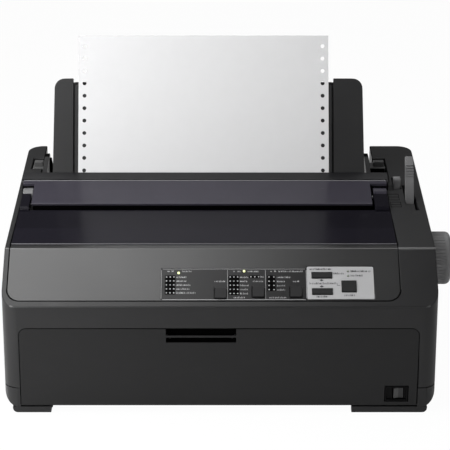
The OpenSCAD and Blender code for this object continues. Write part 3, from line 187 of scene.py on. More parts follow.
def moulded(name, colour, roughness, grain=0.0005, scuffed=0.35, gloss=0.25):
    """Injection-moulded plastic: fine spark grain, faint flow clouds, rubbed and finger-marked places."""
    finish = Finish(name, Specular_IOR_Level=gloss)
    clouds = finish.noise(size=0.09, detail=2.0)
    grains = finish.noise(size=grain, detail=2.0)
    rubs = finish.ramp(finish.noise(size=0.035, detail=6.0, stretch=(1, 1, 3)), low=0.56, high=0.74)
    hair = finish.ramp(finish.noise(size=0.004, detail=2.0, stretch=(12, 0.6, 1)), low=0.68, high=0.76)
    tint = finish.blend(clouds, shade(colour, 0.86), shade(colour, 1.16))
    tint = finish.blend(grains * 0.25, tint, shade(colour, 0.7))
    tint = finish.blend(rubs * (0.3 * scuffed) + hair * (0.12 * scuffed), tint, shade(colour, 1.9))
    rough = roughness + (clouds - 0.5) * 0.1 + (grains - 0.5) * 0.12 - rubs * (0.14 * scuffed)
    return finish.feed(Base_Color=tint, Roughness=rough, Normal=finish.bump(grains, depth=0.00002))


def smoked(name, colour, alpha, gloss, front=None):
    """Tinted clear plastic: polished, with dust, fine hairlines and a slightly wavy surface. Ahead of the
    front line, given as its Y, the tint is painted lighter; behind it the cover stays darker, as painted
    shade of the dark inside."""
    finish = Finish(name, Alpha=alpha, Specular_IOR_Level=gloss)
    waves = finish.noise(size=0.06, detail=1.0)
    dust = finish.ramp(finish.cells(size=0.0045), low=0.03, high=0.0)
    hair = finish.ramp(finish.noise(size=0.003, detail=2.0, stretch=(0.5, 14, 1)), low=0.7, high=0.78)
    film = finish.noise(size=0.05, detail=4.0)
    tint = finish.blend(film, shade(colour, 0.85), shade(colour, 1.2))
    # Painted light: ahead of the front line the cover is painted lighter, and behind it it stays darker as
    # painted shade
    if front is not None:
        painted_lighter_ahead = finish.ramp(finish.node("ShaderNodeSeparateXYZ", {}, {"Vector": finish.place()}, "Y"),
                            front + 0.0004, front - 0.0004)
        tint = finish.blend(painted_lighter_ahead, tint, shade(colour, 1.3))
    tint = finish.blend(dust * 0.25 + hair * 0.06, tint, (0.4, 0.4, 0.42))
    rough = 0.17 + film * 0.08 + dust * 0.3 + hair * 0.1
    return finish.feed(Base_Color=tint, Roughness=rough, Normal=finish.bump(waves, depth=0.0001))


def plated(name, colour, roughness, along=(1, 1, 1), spangle=0.0):
    """Sheet steel or bar: fine lines along its length, faint zinc spangle, small dull spots."""
    finish = Finish(name, Metallic=1.0)
    lines = finish.noise(size=0.0012, detail=3.0, stretch=along)
    spots = finish.ramp(finish.noise(size=0.02, detail=5.0), low=0.6, high=0.72)
    leaf = finish.cells(size=0.009)
    tint = finish.blend(lines * 0.5 + leaf * spangle, shade(colour, 0.82), shade(colour, 1.12))
    tint = finish.blend(spots * 0.4, tint, shade(colour, 0.6))
    rough = roughness + lines * 0.12 + spots * 0.18
    return finish.feed(Base_Color=tint, Roughness=rough, Normal=finish.bump(lines, depth=0.00001))


def rubbery(name, colour, roughness=0.72):
    """Ground rubber: dull, with fine pitting and pale paper dust."""
    finish = Finish(name)
    pits = finish.noise(size=0.0007, detail=3.0)
    dust = finish.ramp(finish.noise(size=0.03, detail=6.0, stretch=(0.4, 1, 1)), low=0.5, high=0.8)
    tint = finish.blend(pits, shade(colour, 0.7), shade(colour, 1.3))
    tint = finish.blend(dust * 0.25, tint, (0.25, 0.25, 0.25))
    rough = roughness + pits * 0.15
    return finish.feed(Base_Color=tint, Roughness=rough, Normal=finish.bump(pits, depth=0.00003))


def uncoated_paper(name, colour):
    """Listing paper: faint fibre clouds, fine tooth and a touch of curl shading."""
    finish = Finish(name, Roughness=0.85)
    clouds = finish.noise(size=0.012, detail=5.0)
    fibres = finish.noise(size=0.0008, detail=4.0, stretch=(1, 0.4, 1))
    tint = finish.blend(clouds, shade(colour, 0.965), shade(colour, 1.01))
    tint = finish.blend(fibres * 0.12, tint, shade(colour, 0.88))
    rough = 0.8 + fibres * 0.12
    return finish.feed(Base_Color=tint, Roughness=rough, Normal=finish.bump(fibres, depth=0.00002))


def lacquered_board(name, colour):
    """Circuit board: green lacquer over copper tracks."""
    finish = Finish(name)
    tracks = finish.ramp(finish.node("ShaderNodeTexBrick", {}, {
        "Vector": finish.place(), "Scale": 90.0, "Mortar Size": 0.035}, out="Fac"), 0.2, 0.8)
    clouds = finish.noise(size=0.03, detail=3.0)
    tint = finish.blend(tracks, shade(colour, 1.5), colour)
    tint = finish.blend(clouds * 0.4, tint, shade(colour, 0.7))
    rough = 0.3 + clouds * 0.15
    return finish.feed(Base_Color=tint, Roughness=rough, Normal=finish.bump(tracks, depth=0.00003))


def inked_fabric(name, colour):
    """Woven nylon ribbon soaked in ink."""
    finish = Finish(name)
    weave = finish.node("ShaderNodeTexWave", {"bands_direction": "DIAGONAL"}, {
        "Vector": finish.place(), "Scale": 900.0})
    damp = finish.noise(size=0.01, detail=3.0)
    tint = finish.blend(weave, shade(colour, 0.6), shade(colour, 2.2))
    rough = 0.5 + damp * 0.3
    return finish.feed(Base_Color=tint, Roughness=rough, Normal=finish.bump(weave, depth=0.00004))


def lit_lens(name, colour, glow):
    """Lamp lens: bright at its heart, uneven towards the rim."""
    finish = Finish(name, Emission_Strength=glow)
    heart = finish.noise(size=0.0012, detail=2.0)
    tint = finish.blend(heart, shade(colour, 0.75), shade(colour, 1.15))
    return finish.feed(Base_Color=tint, Emission_Color=tint, Roughness=0.25 + heart * 0.1)


def printed(name, colour):
    """Screen-printed ink: slightly uneven cover."""
    finish = Finish(name)
    cover = finish.noise(size=0.0009, detail=3.0)
    tint = finish.blend(cover, shade(colour, 0.8), colour)
    rough = 0.5 + cover * 0.2
    return finish.feed(Base_Color=tint, Roughness=rough, Normal=finish.bump(cover, depth=0.00001))


FINISH = {
    "housing": moulded("housing_plastic", (0.011, 0.011, 0.0115), 0.42, gloss=0.3),
    "door": moulded("door_plastic", (0.0095, 0.0095, 0.0098), 0.43, gloss=0.22),
    "deck": moulded("deck_plastic", (0.005, 0.005, 0.006), 0.4),
    "panel": moulded("panel_plastic", (0.008, 0.008, 0.0083), 0.36, scuffed=0.15, gloss=0.53),
    "guide": moulded("guide_plastic", (0.012, 0.012, 0.0125), 0.45, gloss=0.4),
    "inner": moulded("inner_plastic", (0.006, 0.006, 0.0065), 0.5),
    "key": moulded("key_plastic", (0.02, 0.02, 0.0205), 0.4, grain=0.0003, scuffed=0.4, gloss=0.1),
    "plate": moulded("plate_plastic", (0.36, 0.36, 0.365), 0.4, grain=0.0004),
    "lever": moulded("lever_plastic", (0.14, 0.14, 0.142), 0.4, scuffed=0.8),
    "knob": moulded("knob_plastic", (0.21, 0.21, 0.212), 0.45, scuffed=0.6),
    "switch": moulded("switch_plastic", (0.002, 0.002, 0.0022), 0.4, grain=0.0004, gloss=0.08),
    "rocker": moulded("rocker_plastic", (0.016, 0.016, 0.0165), 0.35, grain=0.0004, gloss=0.4),
    # tab: pale grey of the sheet guide's tabs; on the power rocker it is painted light on one half
    "tab": moulded("tab_plastic", (0.06, 0.06, 0.0605), 0.45, scuffed=0.6),
    # recess: near black; painted shade in gaps, seams, recesses and between parts, and the printed black
    # fields of the label
    "recess": moulded("shade_and_print_black", (0.001, 0.001, 0.0011), 0.6, scuffed=0.0, gloss=0.02),
    # rim: paler grey on the printer cover's front edge as a painted highlight
    "rim": moulded("rim_highlight_grey", (0.075, 0.074, 0.08), 0.35, grain=0.0004),
    # bead: a pale grey strip on the paper cover's crease as a painted highlight
    "bead": moulded("crease_highlight_grey", (0.2, 0.2, 0.206), 0.35, grain=0.0003, scuffed=0.2),
    # sleeve: the left hinge barrel, painted pale grey as painted light from the left
    "knuckle_light": moulded("knuckle_light_grey", (0.11, 0.11, 0.112), 0.4, grain=0.0003, scuffed=0.3),
    # crease: a paler, glossier grey painted on the slope's edges as a painted highlight
    "crease": moulded("slope_edge_highlight", (0.045, 0.045, 0.0455), 0.3, grain=0.0004, scuffed=0.3, gloss=0.5),
    "acetal": moulded("acetal", (0.62, 0.6, 0.53), 0.38, grain=0.0009),
    "lid": moulded("tractor_lid_plastic", (0.1, 0.1, 0.102), 0.4),
    # smoked: the printer cover, painted lighter ahead of Y -0.0558 as painted light
    "smoked": smoked("smoked_cover", (0.0065, 0.006, 0.0088), 0.96, 0.05, -0.0558),
    "flap": smoked("smoked_flap", (0.03, 0.028, 0.037), 0.97, 0.15),
    "zinc": plated("zinc_plate", (0.58, 0.59, 0.6), 0.34, spangle=0.5),
    "steel": plated("ground_steel", (0.62, 0.62, 0.63), 0.22, (0.3, 6, 6)),
    "motor": plated("motor_can", (0.2, 0.2, 0.21), 0.4, (1, 1, 6)),
    "head": plated("die_cast", (0.42, 0.42, 0.43), 0.42),
    "brass": plated("turned_brass", (0.66, 0.48, 0.2), 0.28, (8, 1, 1)),
    "foot": rubbery("foot_rubber", (0.02, 0.02, 0.02)),
    "platen": rubbery("platen_rubber", (0.018, 0.018, 0.018), 0.6),
    "paper": uncoated_paper("listing_paper", (0.59, 0.59, 0.595)),
    "board": lacquered_board("circuit_board", (0.012, 0.11, 0.035)),
    "ribbon": inked_fabric("inked_ribbon", (0.01, 0.01, 0.012)),
    "lamp": lit_lens("lamp_lens", (0.2, 0.22, 0.18), 0.0),
    "glow": lit_lens("lamp_glow", (0.85, 0.95, 0.45), 1.0),
    "ink": printed("white_ink", (0.42, 0.42, 0.43)),
    "dim_ink": printed("grey_ink", (0.3, 0.3, 0.305)),
    "frame_ink": printed("frame_ink", (0.33, 0.33, 0.335)),
    "black_ink": printed("black_ink", (0.02, 0.02, 0.022)),
    "label": moulded("label_face", (0.007, 0.007, 0.0075), 0.34, grain=0.0003, scuffed=0.1),
}


# ---------------------------------------------------------------- finishes of the CAD pieces
NODE_FINISH = {
    "lower_housing": "housing", "rubber_feet": "foot", "upper_housing": "housing", "rear_deck": "deck",
    "paper_cover": "flap", "printer_cover": "smoked", "cover_hinge_pins": "steel", "tear_off_bar": "deck",
    "control_panel": "panel", "key_plate": "plate", "tear_off_key": "key", "font_key": "key",
    "pitch_key": "key", "load_key": "key", "line_feed_key": "key", "pause_key": "key",
    "panel_board": "board", "panel_lamps": "lamp",
    "front_cover": "door", "switch_housing": "switch", "power_rocker": "rocker", "sheet_guide": "guide",
    "paper_form": "paper", "thickness_lever": "lever", "release_lever": "lever", "lever_bracket": "zinc",
    "paper_knob": "knob", "base_frame": "zinc", "left_frame": "zinc", "right_frame": "zinc",
    "cross_stay": "zinc",
    "platen_shaft": "steel", "platen_roller": "platen", "platen_bushes": "acetal", "platen_gear": "acetal",
    "transfer_gear": "acetal", "idler_gear": "acetal", "tractor_gear": "acetal", "feed_pinion": "brass",
    "motors": "motor", "guide_shafts": "steel", "pinch_roller": "platen", "paper_chute": "inner",
    "carriage": "inner", "print_head": "head", "ribbon_cartridge": "inner", "ribbon": "ribbon",
    "motor_pulley": "acetal", "idler_pulley": "acetal", "drive_belt": "platen", "tractor_shaft": "steel",
    "left_tractor": "inner", "right_tractor": "inner", "left_tractor_lid": "lid",
    "right_tractor_lid": "lid",
    "main_board": "board", "power_supply": "zinc", "ac_inlet": "switch", "interface_sockets": "switch",
}


def paint(thing, *finishes):
    """Give a piece its finishes, in the order of its material slots."""
    # Clearing also sets every face back to the first finish, so it is left out where nothing needs it
    if thing.data.materials:
        thing.data.materials.clear()
    for finish in finishes:
        thing.data.materials.append(FINISH[finish])


for node, finish in NODE_FINISH.items():
    paint(NODES[node], finish)


# ---------------------------------------------------------------- making pieces, in millimetres
CREST_Y = -100
FRONT_Y = -150
REAR_Y = 150
CREST = Matrix.Translation((0, CREST_Y, 146.5))
SLOPE = CREST @ Matrix.Rotation(math.radians(39.01), 4, "X")
ROOF = CREST @ Matrix.Rotation(math.radians(5.94), 4, "X")
QUARTER_TURN = math.radians(90)
SHARP_TURN = math.radians(50)


def add_block(bm, x0, x1, y0, y1, z0, z1, turn=Matrix()):
    """A box between two corners."""
    size = Matrix.Diagonal((x1 - x0, y1 - y0, z1 - z0, 1))
    centre = Matrix.Translation(((x0 + x1) / 2, (y0 + y1) / 2, (z0 + z1) / 2))
    return bmesh.ops.create_cube(bm, size=1, matrix=turn @ centre @ size)["verts"]


def add_disc(bm, at, radius, height, turn=Matrix(), sides=12, top=None):
    """A round boss whose axis is the local Z, with its foot at a point."""
    centre = Matrix.Translation((at[0], at[1], at[2] + height / 2))
    made = bmesh.ops.create_cone(bm, cap_ends=True, segments=sides, radius1=radius,
                                 radius2=radius if top is None else top, depth=height,
                                 matrix=turn @ centre)
    return made["verts"]


def bevel(bm, edges, width, segments=2, clamped=True):
    """Round edges. A clamped rounding stops where it would run over its neighbour."""
    bmesh.ops.bevel(bm, geom=edges, offset=width, offset_type="OFFSET", segments=segments, profile=0.5,
                    affect="EDGES", clamp_overlap=clamped, material=-1)


def edges_over(bm, angle, shortest):
    """Convex and hollow edges that turn by more than an angle."""
    return [e for e in bm.edges if len(e.link_faces) == 2 and e.calc_face_angle(0) > angle
            and e.calc_length() > shortest]


SLIVER = 0.01
AGREEMENT = 0.5


def folded(bm):
    """Corners of the triangles that lie against their own face, where a rounding has run over itself."""
    bm.normal_update()
    found = []
    for corners in bm.calc_loop_triangles():
        a, b, c = (corner.vert.co for corner in corners)
        normal = (b - a).cross(c - a)
        if normal.length > SLIVER and normal.dot(corners[0].face.normal) < AGREEMENT * normal.length:
            found += [a.copy(), b.copy(), c.copy()]
    return found


ROUNDING_TRIES = 7
CLEARING = 2.5


def rounded(bm, chosen, width, segments=2):
    """Round the chosen edges. Where that folds faces over, the edges within the clearing, counted in widths,
    are left out and the rest is tried again. Gives back the bmesh to use."""
    trouble = []
    for _ in range(ROUNDING_TRIES):
        trial = bm.copy()
        edges = [e for e in chosen(trial) if not any(
            (v.co - spot).length < CLEARING * width for v in e.verts for spot in trouble)]
        if edges:
            bevel(trial, edges, width, segments, clamped=False)
        found = folded(trial)
        if not found:
            bm.free()
            return trial
        trouble += found
        trial.free()
    return bm


def finish_piece(name, bm, body, slot, *finishes):
    """Turn a bmesh into a piece that rides on a body."""
    bmesh.ops.scale(bm, verts=bm.verts, vec=(MM, MM, MM))
    mesh = bpy.data.meshes.new(name)
    for face in bm.faces:
        face.smooth = True
    for edge in bm.edges:
        if len(edge.link_faces) == 2 and edge.calc_face_angle(0) > SHARP_TURN:
            edge.smooth = False
    bm.to_mesh(mesh)
    bm.free()
    piece = bpy.data.objects.new(name, mesh)
    bpy.context.scene.collection.objects.link(piece)
    paint(piece, *finishes)
    even = piece.modifiers.new("even_shading", "WEIGHTED_NORMAL")
    even.mode = "FACE_AREA"
    even.weight = 100
    even.keep_sharp = True
    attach(piece, body)
    return piece


DOUBLES = 0.000002
FLAT_TURN = math.radians(0.6)
SHORTEST_FACE = 0.002
CREASE_TURN = math.radians(20)
CREASE_SHORTEST = 15
CREASE_SEGMENTS = 5
EDGE_TURN = math.radians(32)


def soften(node, width, shortest=1.5, insets=(), crease=None):
    """A merged copy of a CAD piece with its sharp edges rounded stands for it. An inset pairs a finish with
    the test of the faces that take it; a crease pairs a broad rounding with the test of its edges."""
    bm = bmesh.new()
    bm.from_mesh(NODES[node].data)
    bmesh.ops.remove_doubles(bm, verts=bm.verts, dist=DOUBLES)
    bmesh.ops.scale(bm, verts=bm.verts, vec=(1 / MM, 1 / MM, 1 / MM))
    bmesh.ops.dissolve_limit(bm, angle_limit=FLAT_TURN, verts=bm.verts, edges=bm.edges)
    bmesh.ops.dissolve_degenerate(bm, dist=SHORTEST_FACE, edges=bm.edges)
    if crease:
        broad, in_crease = crease
        bm = rounded(bm, lambda mesh: [e for e in edges_over(mesh, CREASE_TURN, CREASE_SHORTEST)
                                       if in_crease(e.verts[0].co, e.verts[1].co)], broad, CREASE_SEGMENTS)
    bm = rounded(bm, lambda mesh: edges_over(mesh, EDGE_TURN, shortest), width)
    finishes = [NODE_FINISH[node]]
    bm.normal_update()
    for finish, chosen in insets:
        finishes.append(finish)
        for face in bm.faces:
            if chosen(face.calc_center_median(), face.normal):
                face.material_index = len(finishes) - 1
    piece = finish_piece(node + "_body", bm, BODY_OF[node], SLOT_OF[node], *finishes)
    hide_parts(node)
    return piece


# ---------------------------------------------------------------- studio, in metres
FLOOR_HALF = 14
FLOOR_BACK = 3
WALL_FROM = 12
WALL_H = 6
SEEN_WHITE = 0.97
REFLECTED_WHITE = 0.25
WORLD_LIGHT = 0.1
# name, watts, width and height, place, the point it faces
STUDIO_LAMPS = (
    ("left_softbox", 12, (0.8, 0.9), (-0.52, -0.2, 0.85), (-0.45, -0.14, 0.1)),
    ("left_front", 2.2, (0.3, 0.3), (-0.5, -0.45, 0.26), (-0.2, -0.15, 0.06)),
    ("overhead", 3, (1.6, 1.2), (0.1, 0.5, 2.2), (0, 0.1, 0.1)),
    ("right_fill", 2, (0.5, 0.5), (0.8, -0.7, 0.75), (0.06, 0.1, 0.24)),
    ("rear_strip", 5, (1.8, 0.3), (0, 0.75, 1.4), (0, -0.05, 0.15)),
)


def sweep_paint():
    """Pale matt paint that the camera sees as plain white, and that shines a little in what mirrors it."""
    pale = Finish("sweep_paint", Roughness=0.9, Specular_IOR_Level=0.0)
    tone = pale.noise(size=0.8, detail=2.0)
    pale.feed(Base_Color=pale.blend(tone, (0.88, 0.88, 0.88), (0.9, 0.9, 0.9)))
    seen = pale.node("ShaderNodeLightPath", out="Is Camera Ray")
    mirrored = pale.node("ShaderNodeLightPath", out="Is Glossy Ray")
    through = pale.node("ShaderNodeLightPath", out="Is Transmission Ray")
    white = pale.node("ShaderNodeEmission", {}, {"Color": (1, 1, 1), "Strength": 1.0})
    body = Wire(pale, pale.shader.outputs[0])
    share = seen * SEEN_WHITE + (mirrored + through) * REFLECTED_WHITE
    lifted = pale.node("ShaderNodeMixShader", {}, {0: share, 1: body, 2: white})
    pale.tree.links.new(lifted.socket, pale.tree.nodes["Material Output"].inputs["Surface"])
    return pale.material


def studio():
    """A pale sweep, soft lamps and a plain world."""
    bm = bmesh.new()
    bmesh.ops.create_grid(bm, x_segments=1, y_segments=1, size=FLOOR_HALF)
    bmesh.ops.translate(bm, verts=bm.verts, vec=(0, FLOOR_BACK, 0))
    far = [e for e in bm.edges if all(v.co.y > WALL_FROM for v in e.verts)]
    wall = bmesh.ops.extrude_edge_only(bm, edges=far)["geom"]
    raised = [part for part in wall if isinstance(part, bmesh.types.BMVert)]
    bmesh.ops.translate(bm, verts=raised, vec=(0, 0, WALL_H))
    mesh = bpy.data.meshes.new("sweep")
    bm.to_mesh(mesh)
    bm.free()
    sweep = bpy.data.objects.new("sweep", mesh)
    bpy.context.scene.collection.objects.link(sweep)
    sweep.data.materials.append(sweep_paint())

    world = bpy.data.worlds.new("studio")
    bpy.context.scene.world = world
    world.use_nodes = True
    air = world.node_tree.nodes["Background"]
    air.inputs["Color"].default_value = (1, 1, 1, 1)
    air.inputs["Strength"].default_value = WORLD_LIGHT
    for name, power, size, place, aim in STUDIO_LAMPS:
        lamp = bpy.data.lights.new(name, "AREA")
        lamp.energy = power
        lamp.shape = "RECTANGLE"
        lamp.size, lamp.size_y = size
        holder = bpy.data.objects.new(name, lamp)
        holder.location = place
        holder.visible_camera = False
        holder.rotation_euler = (Vector(aim) - Vector(place)).to_track_quat("-Z", "Y").to_euler()
        bpy.context.scene.collection.objects.link(holder)


studio()
bpy.context.scene.view_settings.view_transform = "Standard"


# ---------------------------------------------------------------- shells with rounded edges
LID_LEFT = -197.2
LID_RIGHT = 167.0
SEAM_HALF_GAP = 0.2
LABEL_FACE = -0.5
PLATE_FACE = 0.0


def on_label(at, normal):
    """The sunk label of the control panel, left of the key plate."""
    at = SLOPE.inverted() @ at
    return -55.5 < at.x < 81 and -56.5 < at.y < -21.5 and abs(at.z - LABEL_FACE) < 0.1 and normal.z > 0.5


def by_seam(reach):
    """The walls of the narrow gap beside the lids, painted near black as painted shade."""
    left = LID_LEFT - SEAM_HALF_GAP
    right = LID_RIGHT + SEAM_HALF_GAP
    return lambda at, normal: at.z > 112 and min(abs(at.x - left), abs(at.x - right)) < reach


def in_grip(at, normal):
    """The finger recess of the front cover, painted near black as painted shade."""
    return -50.3 < at.x < 15.3 and 68 < at.z < 87 and -149.4 < at.y < -120


def by_door(at, normal):
    """The walls of the narrow gap round the front door, painted near black as painted shade."""
    return -149.9 < at.y < -140 and abs(normal.y) < 0.5 and -190 < at.x < 190 and 6 < at.z < 90


def on_tab(at, normal):
    """The pivot tabs of the sheet guide, outside its posts."""
    return at.z > 150 and 88 < at.y < 112 and not -184 < at.x < 160


def on_front_edge_highlight(at, normal):
    """The front edge of the printer cover, painted paler as a painted highlight."""
    return at.y < -89.2 and at.z > 145.5 and normal.z > 0.2


def lit(at, normal):
    """The two lamps that are on."""
    return min(abs(at.x + 38.5), abs(at.x - 22.5)) < 2


def by_comb(at, normal):
    """The brackets between the towers and the pockets of the roof, painted near black as painted shade."""
    return 80 < at.y < 112 and 150 < at.z < 182 and (-184 < at.x < -172 or 148 < at.x < 160)


def in_cheek(at, normal):
    """The walls of the bay behind the lids, painted near black as painted shade."""
    return at.y > 60 and at.z > 150 and abs(normal.x) > 0.3 and -187 < at.x < 161


def on_lit_side(at, normal):
    """The lit half of the power rocker, painted pale as painted light."""
    return normal.x > 0.1 and normal.y < -0.5


def on_slope_edge_highlight(at, normal):
    """The rounded edges above and below the slope, where a paler, glossier finish is painted as a painted
    highlight.
    """
    above = abs(at.y - CREST_Y) < 2.6 and 143 < at.z < 149 and 0.86 < normal.z < 0.985 and normal.y < -0.12
    below = abs(at.y + 149.4) < 1.6 and 98 < at.z < 110 and -0.97 < normal.y < -0.7 and normal.z > 0.2
    return above or below


def slope_edges(one, other):
    """The long edges above and below the sloping panel."""
    return abs(one.y - other.y) < 0.1 and all(
        abs(v.y - CREST_Y) < 2.5 and v.z > 143 or abs(v.y - FRONT_Y) < 2.5 and 98 < v.z < 110
        for v in (one, other))


# Painted shade: the walls of the gaps beside the lids are painted near black
SEAM = ("recess", by_seam(0.75))
LID_WALL_SHADE = ("recess", by_seam(0.3))
# Painted shade: the walls of the gap round the front door are painted near black
DOOR_GAP_SHADE = ("recess", by_door)
# Painted shade: the finger recess is painted near black
GRIP_SHADE = ("recess", in_grip)
# Painted highlight: a paler finish on the rounded edges above and below the slope
EDGE_HIGHLIGHT = ("crease", on_slope_edge_highlight)

soften("lower_housing", 0.8, insets=(DOOR_GAP_SHADE,))
for node, width in (("rear_deck", 0.5), ("paper_cover", 0.5), ("key_plate", 0.25),
                    ("switch_housing", 0.4), ("thickness_lever", 0.5), ("release_lever", 0.5),
                    ("tear_off_bar", 0.3), ("paper_knob", 0.25), ("left_tractor_lid", 0.3),
                    ("right_tractor_lid", 0.3), ("ribbon_cartridge", 0.5), ("carriage", 0.3)):
    soften(node, width)
for node in ("tear_off_key", "font_key", "pitch_key", "load_key", "line_feed_key", "pause_key"):
    soften(node, 0.35, shortest=0.8)
# Painted shade: the walls of the bay behind the lids take the near-black finish
soften("upper_housing", 0.9, insets=(EDGE_HIGHLIGHT, SEAM, GRIP_SHADE, ("recess", in_cheek), DOOR_GAP_SHADE),
       crease=(2.2, slope_edges))
soften("control_panel", 0.4, insets=(EDGE_HIGHLIGHT, ("label", on_label), LID_WALL_SHADE), crease=(2.0, slope_edges))
soften("printer_cover", 0.5, insets=(("rim", on_front_edge_highlight), LID_WALL_SHADE))
soften("front_cover", 0.6, insets=(GRIP_SHADE, DOOR_GAP_SHADE))
# Painted shade: the brackets beside the sheet guide's posts take the near-black finish
soften("sheet_guide", 0.6, insets=(("tab", on_tab), ("recess", by_comb)))
# Painted light: one half of the power rocker takes the pale finish
soften("power_rocker", 0.3, insets=(("tab", on_lit_side),))
soften("panel_lamps", 0.05, insets=(("glow", lit),))


# ---------------------------------------------------------------- small fittings of the shell
def piece_on(node, name, finish, bm):
    """A small fitting that rides with a CAD piece."""
    return finish_piece(name, bm, BODY_OF[node], SLOT_OF[node], finish)


FINE_EASE = 0.15


def eased(bm, verts, width):
    """Round all edges of one block."""
    edges = {e for v in verts for e in v.link_edges}
    bevel(bm, list(edges), width)


def leaning(bm, foot, top, y0, y1, z0, z1):
    """A block whose foot and top span different widths."""
    for vert in add_block(bm, foot[0], foot[1], y0, y1, z0, z1):
        if vert.co.z > (z0 + z1) / 2:
            vert.co.x = top[0] if vert.co.x < (foot[0] + foot[1]) / 2 else top[1]


# Boxes are given by their left, right, front, back, lower and upper sides
CREASE_HIGHLIGHT_MARGIN = 0.6
CREASE_HIGHLIGHT_BOX = (LID_LEFT + CREASE_HIGHLIGHT_MARGIN, LID_RIGHT - CREASE_HIGHLIGHT_MARGIN, 33.9, 35.0, 170.1, 170.66)
SHADE_APRON_BOX = (-184.5, 149, -8.0, -7.4, 152.8, 158.7)
HINGE_Y = 21
HINGE_Z = 157.184
KNUCKLE_R = 9.2
KNUCKLE_SIDES = 48
# name, finish, left and right end
# Painted light: the left barrel is painted pale grey where light falls from the left; the right one keeps
# the cover's tint
KNUCKLES = (("left_knuckle", "knuckle_light", -196.3, -186.3), ("right_knuckle", "flap", 152.8, 166.2))


def lid_fittings():
    """A pale bead along the paper cover's crease as a painted highlight, a near-black apron under its front
    edge as painted shade over the gap, and the barrels of the printer cover's hinge, the left one painted
    pale grey as painted light.
    """
    bm = bmesh.new()
    # Painted highlight: a pale strip along the crease of the paper cover
    eased(bm, add_block(bm, *CREASE_HIGHLIGHT_BOX), FINE_EASE)
    piece_on("paper_cover", "flap_crease_highlight", "bead", bm)
    # Painted shade: a near-black sheet under the paper cover's front edge hides the gap behind it
    bm = bmesh.new()
    add_block(bm, *SHADE_APRON_BOX)
    piece_on("paper_cover", "flap_shade_apron", "recess", bm)
    for name, finish, x0, x1 in KNUCKLES:
        bm = bmesh.new()
        across = Matrix.Translation((x0, HINGE_Y, HINGE_Z)) @ Matrix.Rotation(QUARTER_TURN, 4, "Y")
        add_disc(bm, (0, 0, 0), KNUCKLE_R, x1 - x0, across, KNUCKLE_SIDES)
        ends = [e for e in bm.edges if e.calc_face_angle(0) > 1]
        bevel(bm, ends, 0.5)
        piece_on("printer_cover", name, finish, bm)


SCREW_X = 188
SCREW_ROWS = (("lower_housing", 22), ("upper_housing", 128))
HEAD_FOOT_R = 3.1
HEAD_TOP_R = 2.5
HEAD_H = 1.1
HEAD_SUNK = 0.4
CROSS_BOX = (-1.5, 1.5, -0.3, 0.3, 0.6, 0.74)
CROSS_TURNS = (30, 120)


def rear_screws():
    """Recessed-cross screws that hold the shell together at the back; their crosses are near-black blocks on
    the heads as painted shade.
    """
    for node, z in SCREW_ROWS:
        heads = bmesh.new()
        cross_shade = bmesh.new()
        for x in (-SCREW_X, SCREW_X):
            back = Matrix.Translation((x, REAR_Y, z)) @ Matrix.Rotation(-QUARTER_TURN, 4, "X")
            add_disc(heads, (0, 0, -HEAD_SUNK), HEAD_FOOT_R, HEAD_H, back, sides=24, top=HEAD_TOP_R)
            for turn in CROSS_TURNS:
                spin = back @ Matrix.Rotation(math.radians(turn), 4, "Z")
                add_block(cross_shade, *CROSS_BOX, spin)
        piece_on(node, node + "_screws", "zinc", heads)
        # Painted shade: near-black crosses stand for the shade in the screws' recesses
        piece_on(node, node + "_screw_crosses", "recess", cross_shade)


TAB_SPANS = ((-192.4, -183.4), (158.9, 169.8))
TAB_BODY = (95.5, 103, 165.6, 171.2)
TAB_EASE = 0.6
# left and right of the foot, then of the top
COMBS = (((-183.2, -172.4), (-178.6, -174.6)), ((149.4, 157.2), (151.4, 154.4)))
COMB_BODY = (99, 102, 158, 174)


def guide_fittings():
    """The grey tabs on which the sheet guide stands, and the combs between them and its posts, near black as
    painted shade.
    """
    bm = bmesh.new()
    for x0, x1 in TAB_SPANS:
        eased(bm, add_block(bm, x0, x1, *TAB_BODY), TAB_EASE)
    piece_on("sheet_guide", "guide_tabs", "tab", bm)
    # Painted shade: the combs take the near-black finish
    bm = bmesh.new()
    for foot, top in COMBS:
        leaning(bm, foot, top, *COMB_BODY)
    piece_on("sheet_guide", "guide_comb_shade", "recess", bm)


# left, right and outer end
SKIRTS = ((-194.5, -158.7, -194.5), (123.6, 194.5, 194.5))
SKIRT_BODY = (-149.3, -141.5, 0.2, 6.0)
SKIRT_CORNER = 4.5


def front_skirts():
    """The two skirts under the front, rounded below at their outer ends."""
    bm = bmesh.new()
    for x0, x1, outer in SKIRTS:
        verts = add_block(bm, x0, x1, *SKIRT_BODY)
        outside = [e for e in {e for v in verts for e in v.link_edges}
                   if all(abs(v.co.x - outer) < 0.1 and v.co.z < 1 for v in e.verts)]
        bevel(bm, outside, SKIRT_CORNER, segments=6)
    piece_on("lower_housing", "front_skirts", "housing", bm)


RIB_PLACES = ((-47.7, 1), (12.5, -1))
RIB_Y = -148.6
RIB_Z = 77.0
RIB_LEAN = math.radians(48)
RIB_BOX = (-2.5, 2.5, -0.7, 0.7, -0.35, 0.35)


def grip_ends():
    """The slanted ribs at the two ends of the finger recess."""
    bm = bmesh.new()
    for x, side in RIB_PLACES:
        turn = Matrix.Translation((x, RIB_Y, RIB_Z)) @ Matrix.Rotation(side * RIB_LEAN, 4, "Y")
        eased(bm, add_block(bm, *RIB_BOX, turn), FINE_EASE)
    piece_on("front_cover", "grip_ends", "door", bm)


LINE_LOW = -0.05
LINE_HIGH = 0.12
END_LINE_W = 0.5
SIDE_LINE_W = 0.45
# left, right, front and back of each framed mark on the roof, measured along it
ROOF_MARKS = ((168.6, 174.6, 134.8, 144.8), (167.8, 178.6, 110.2, 124.8), (168.6, 179.2, 93.4, 105.4))


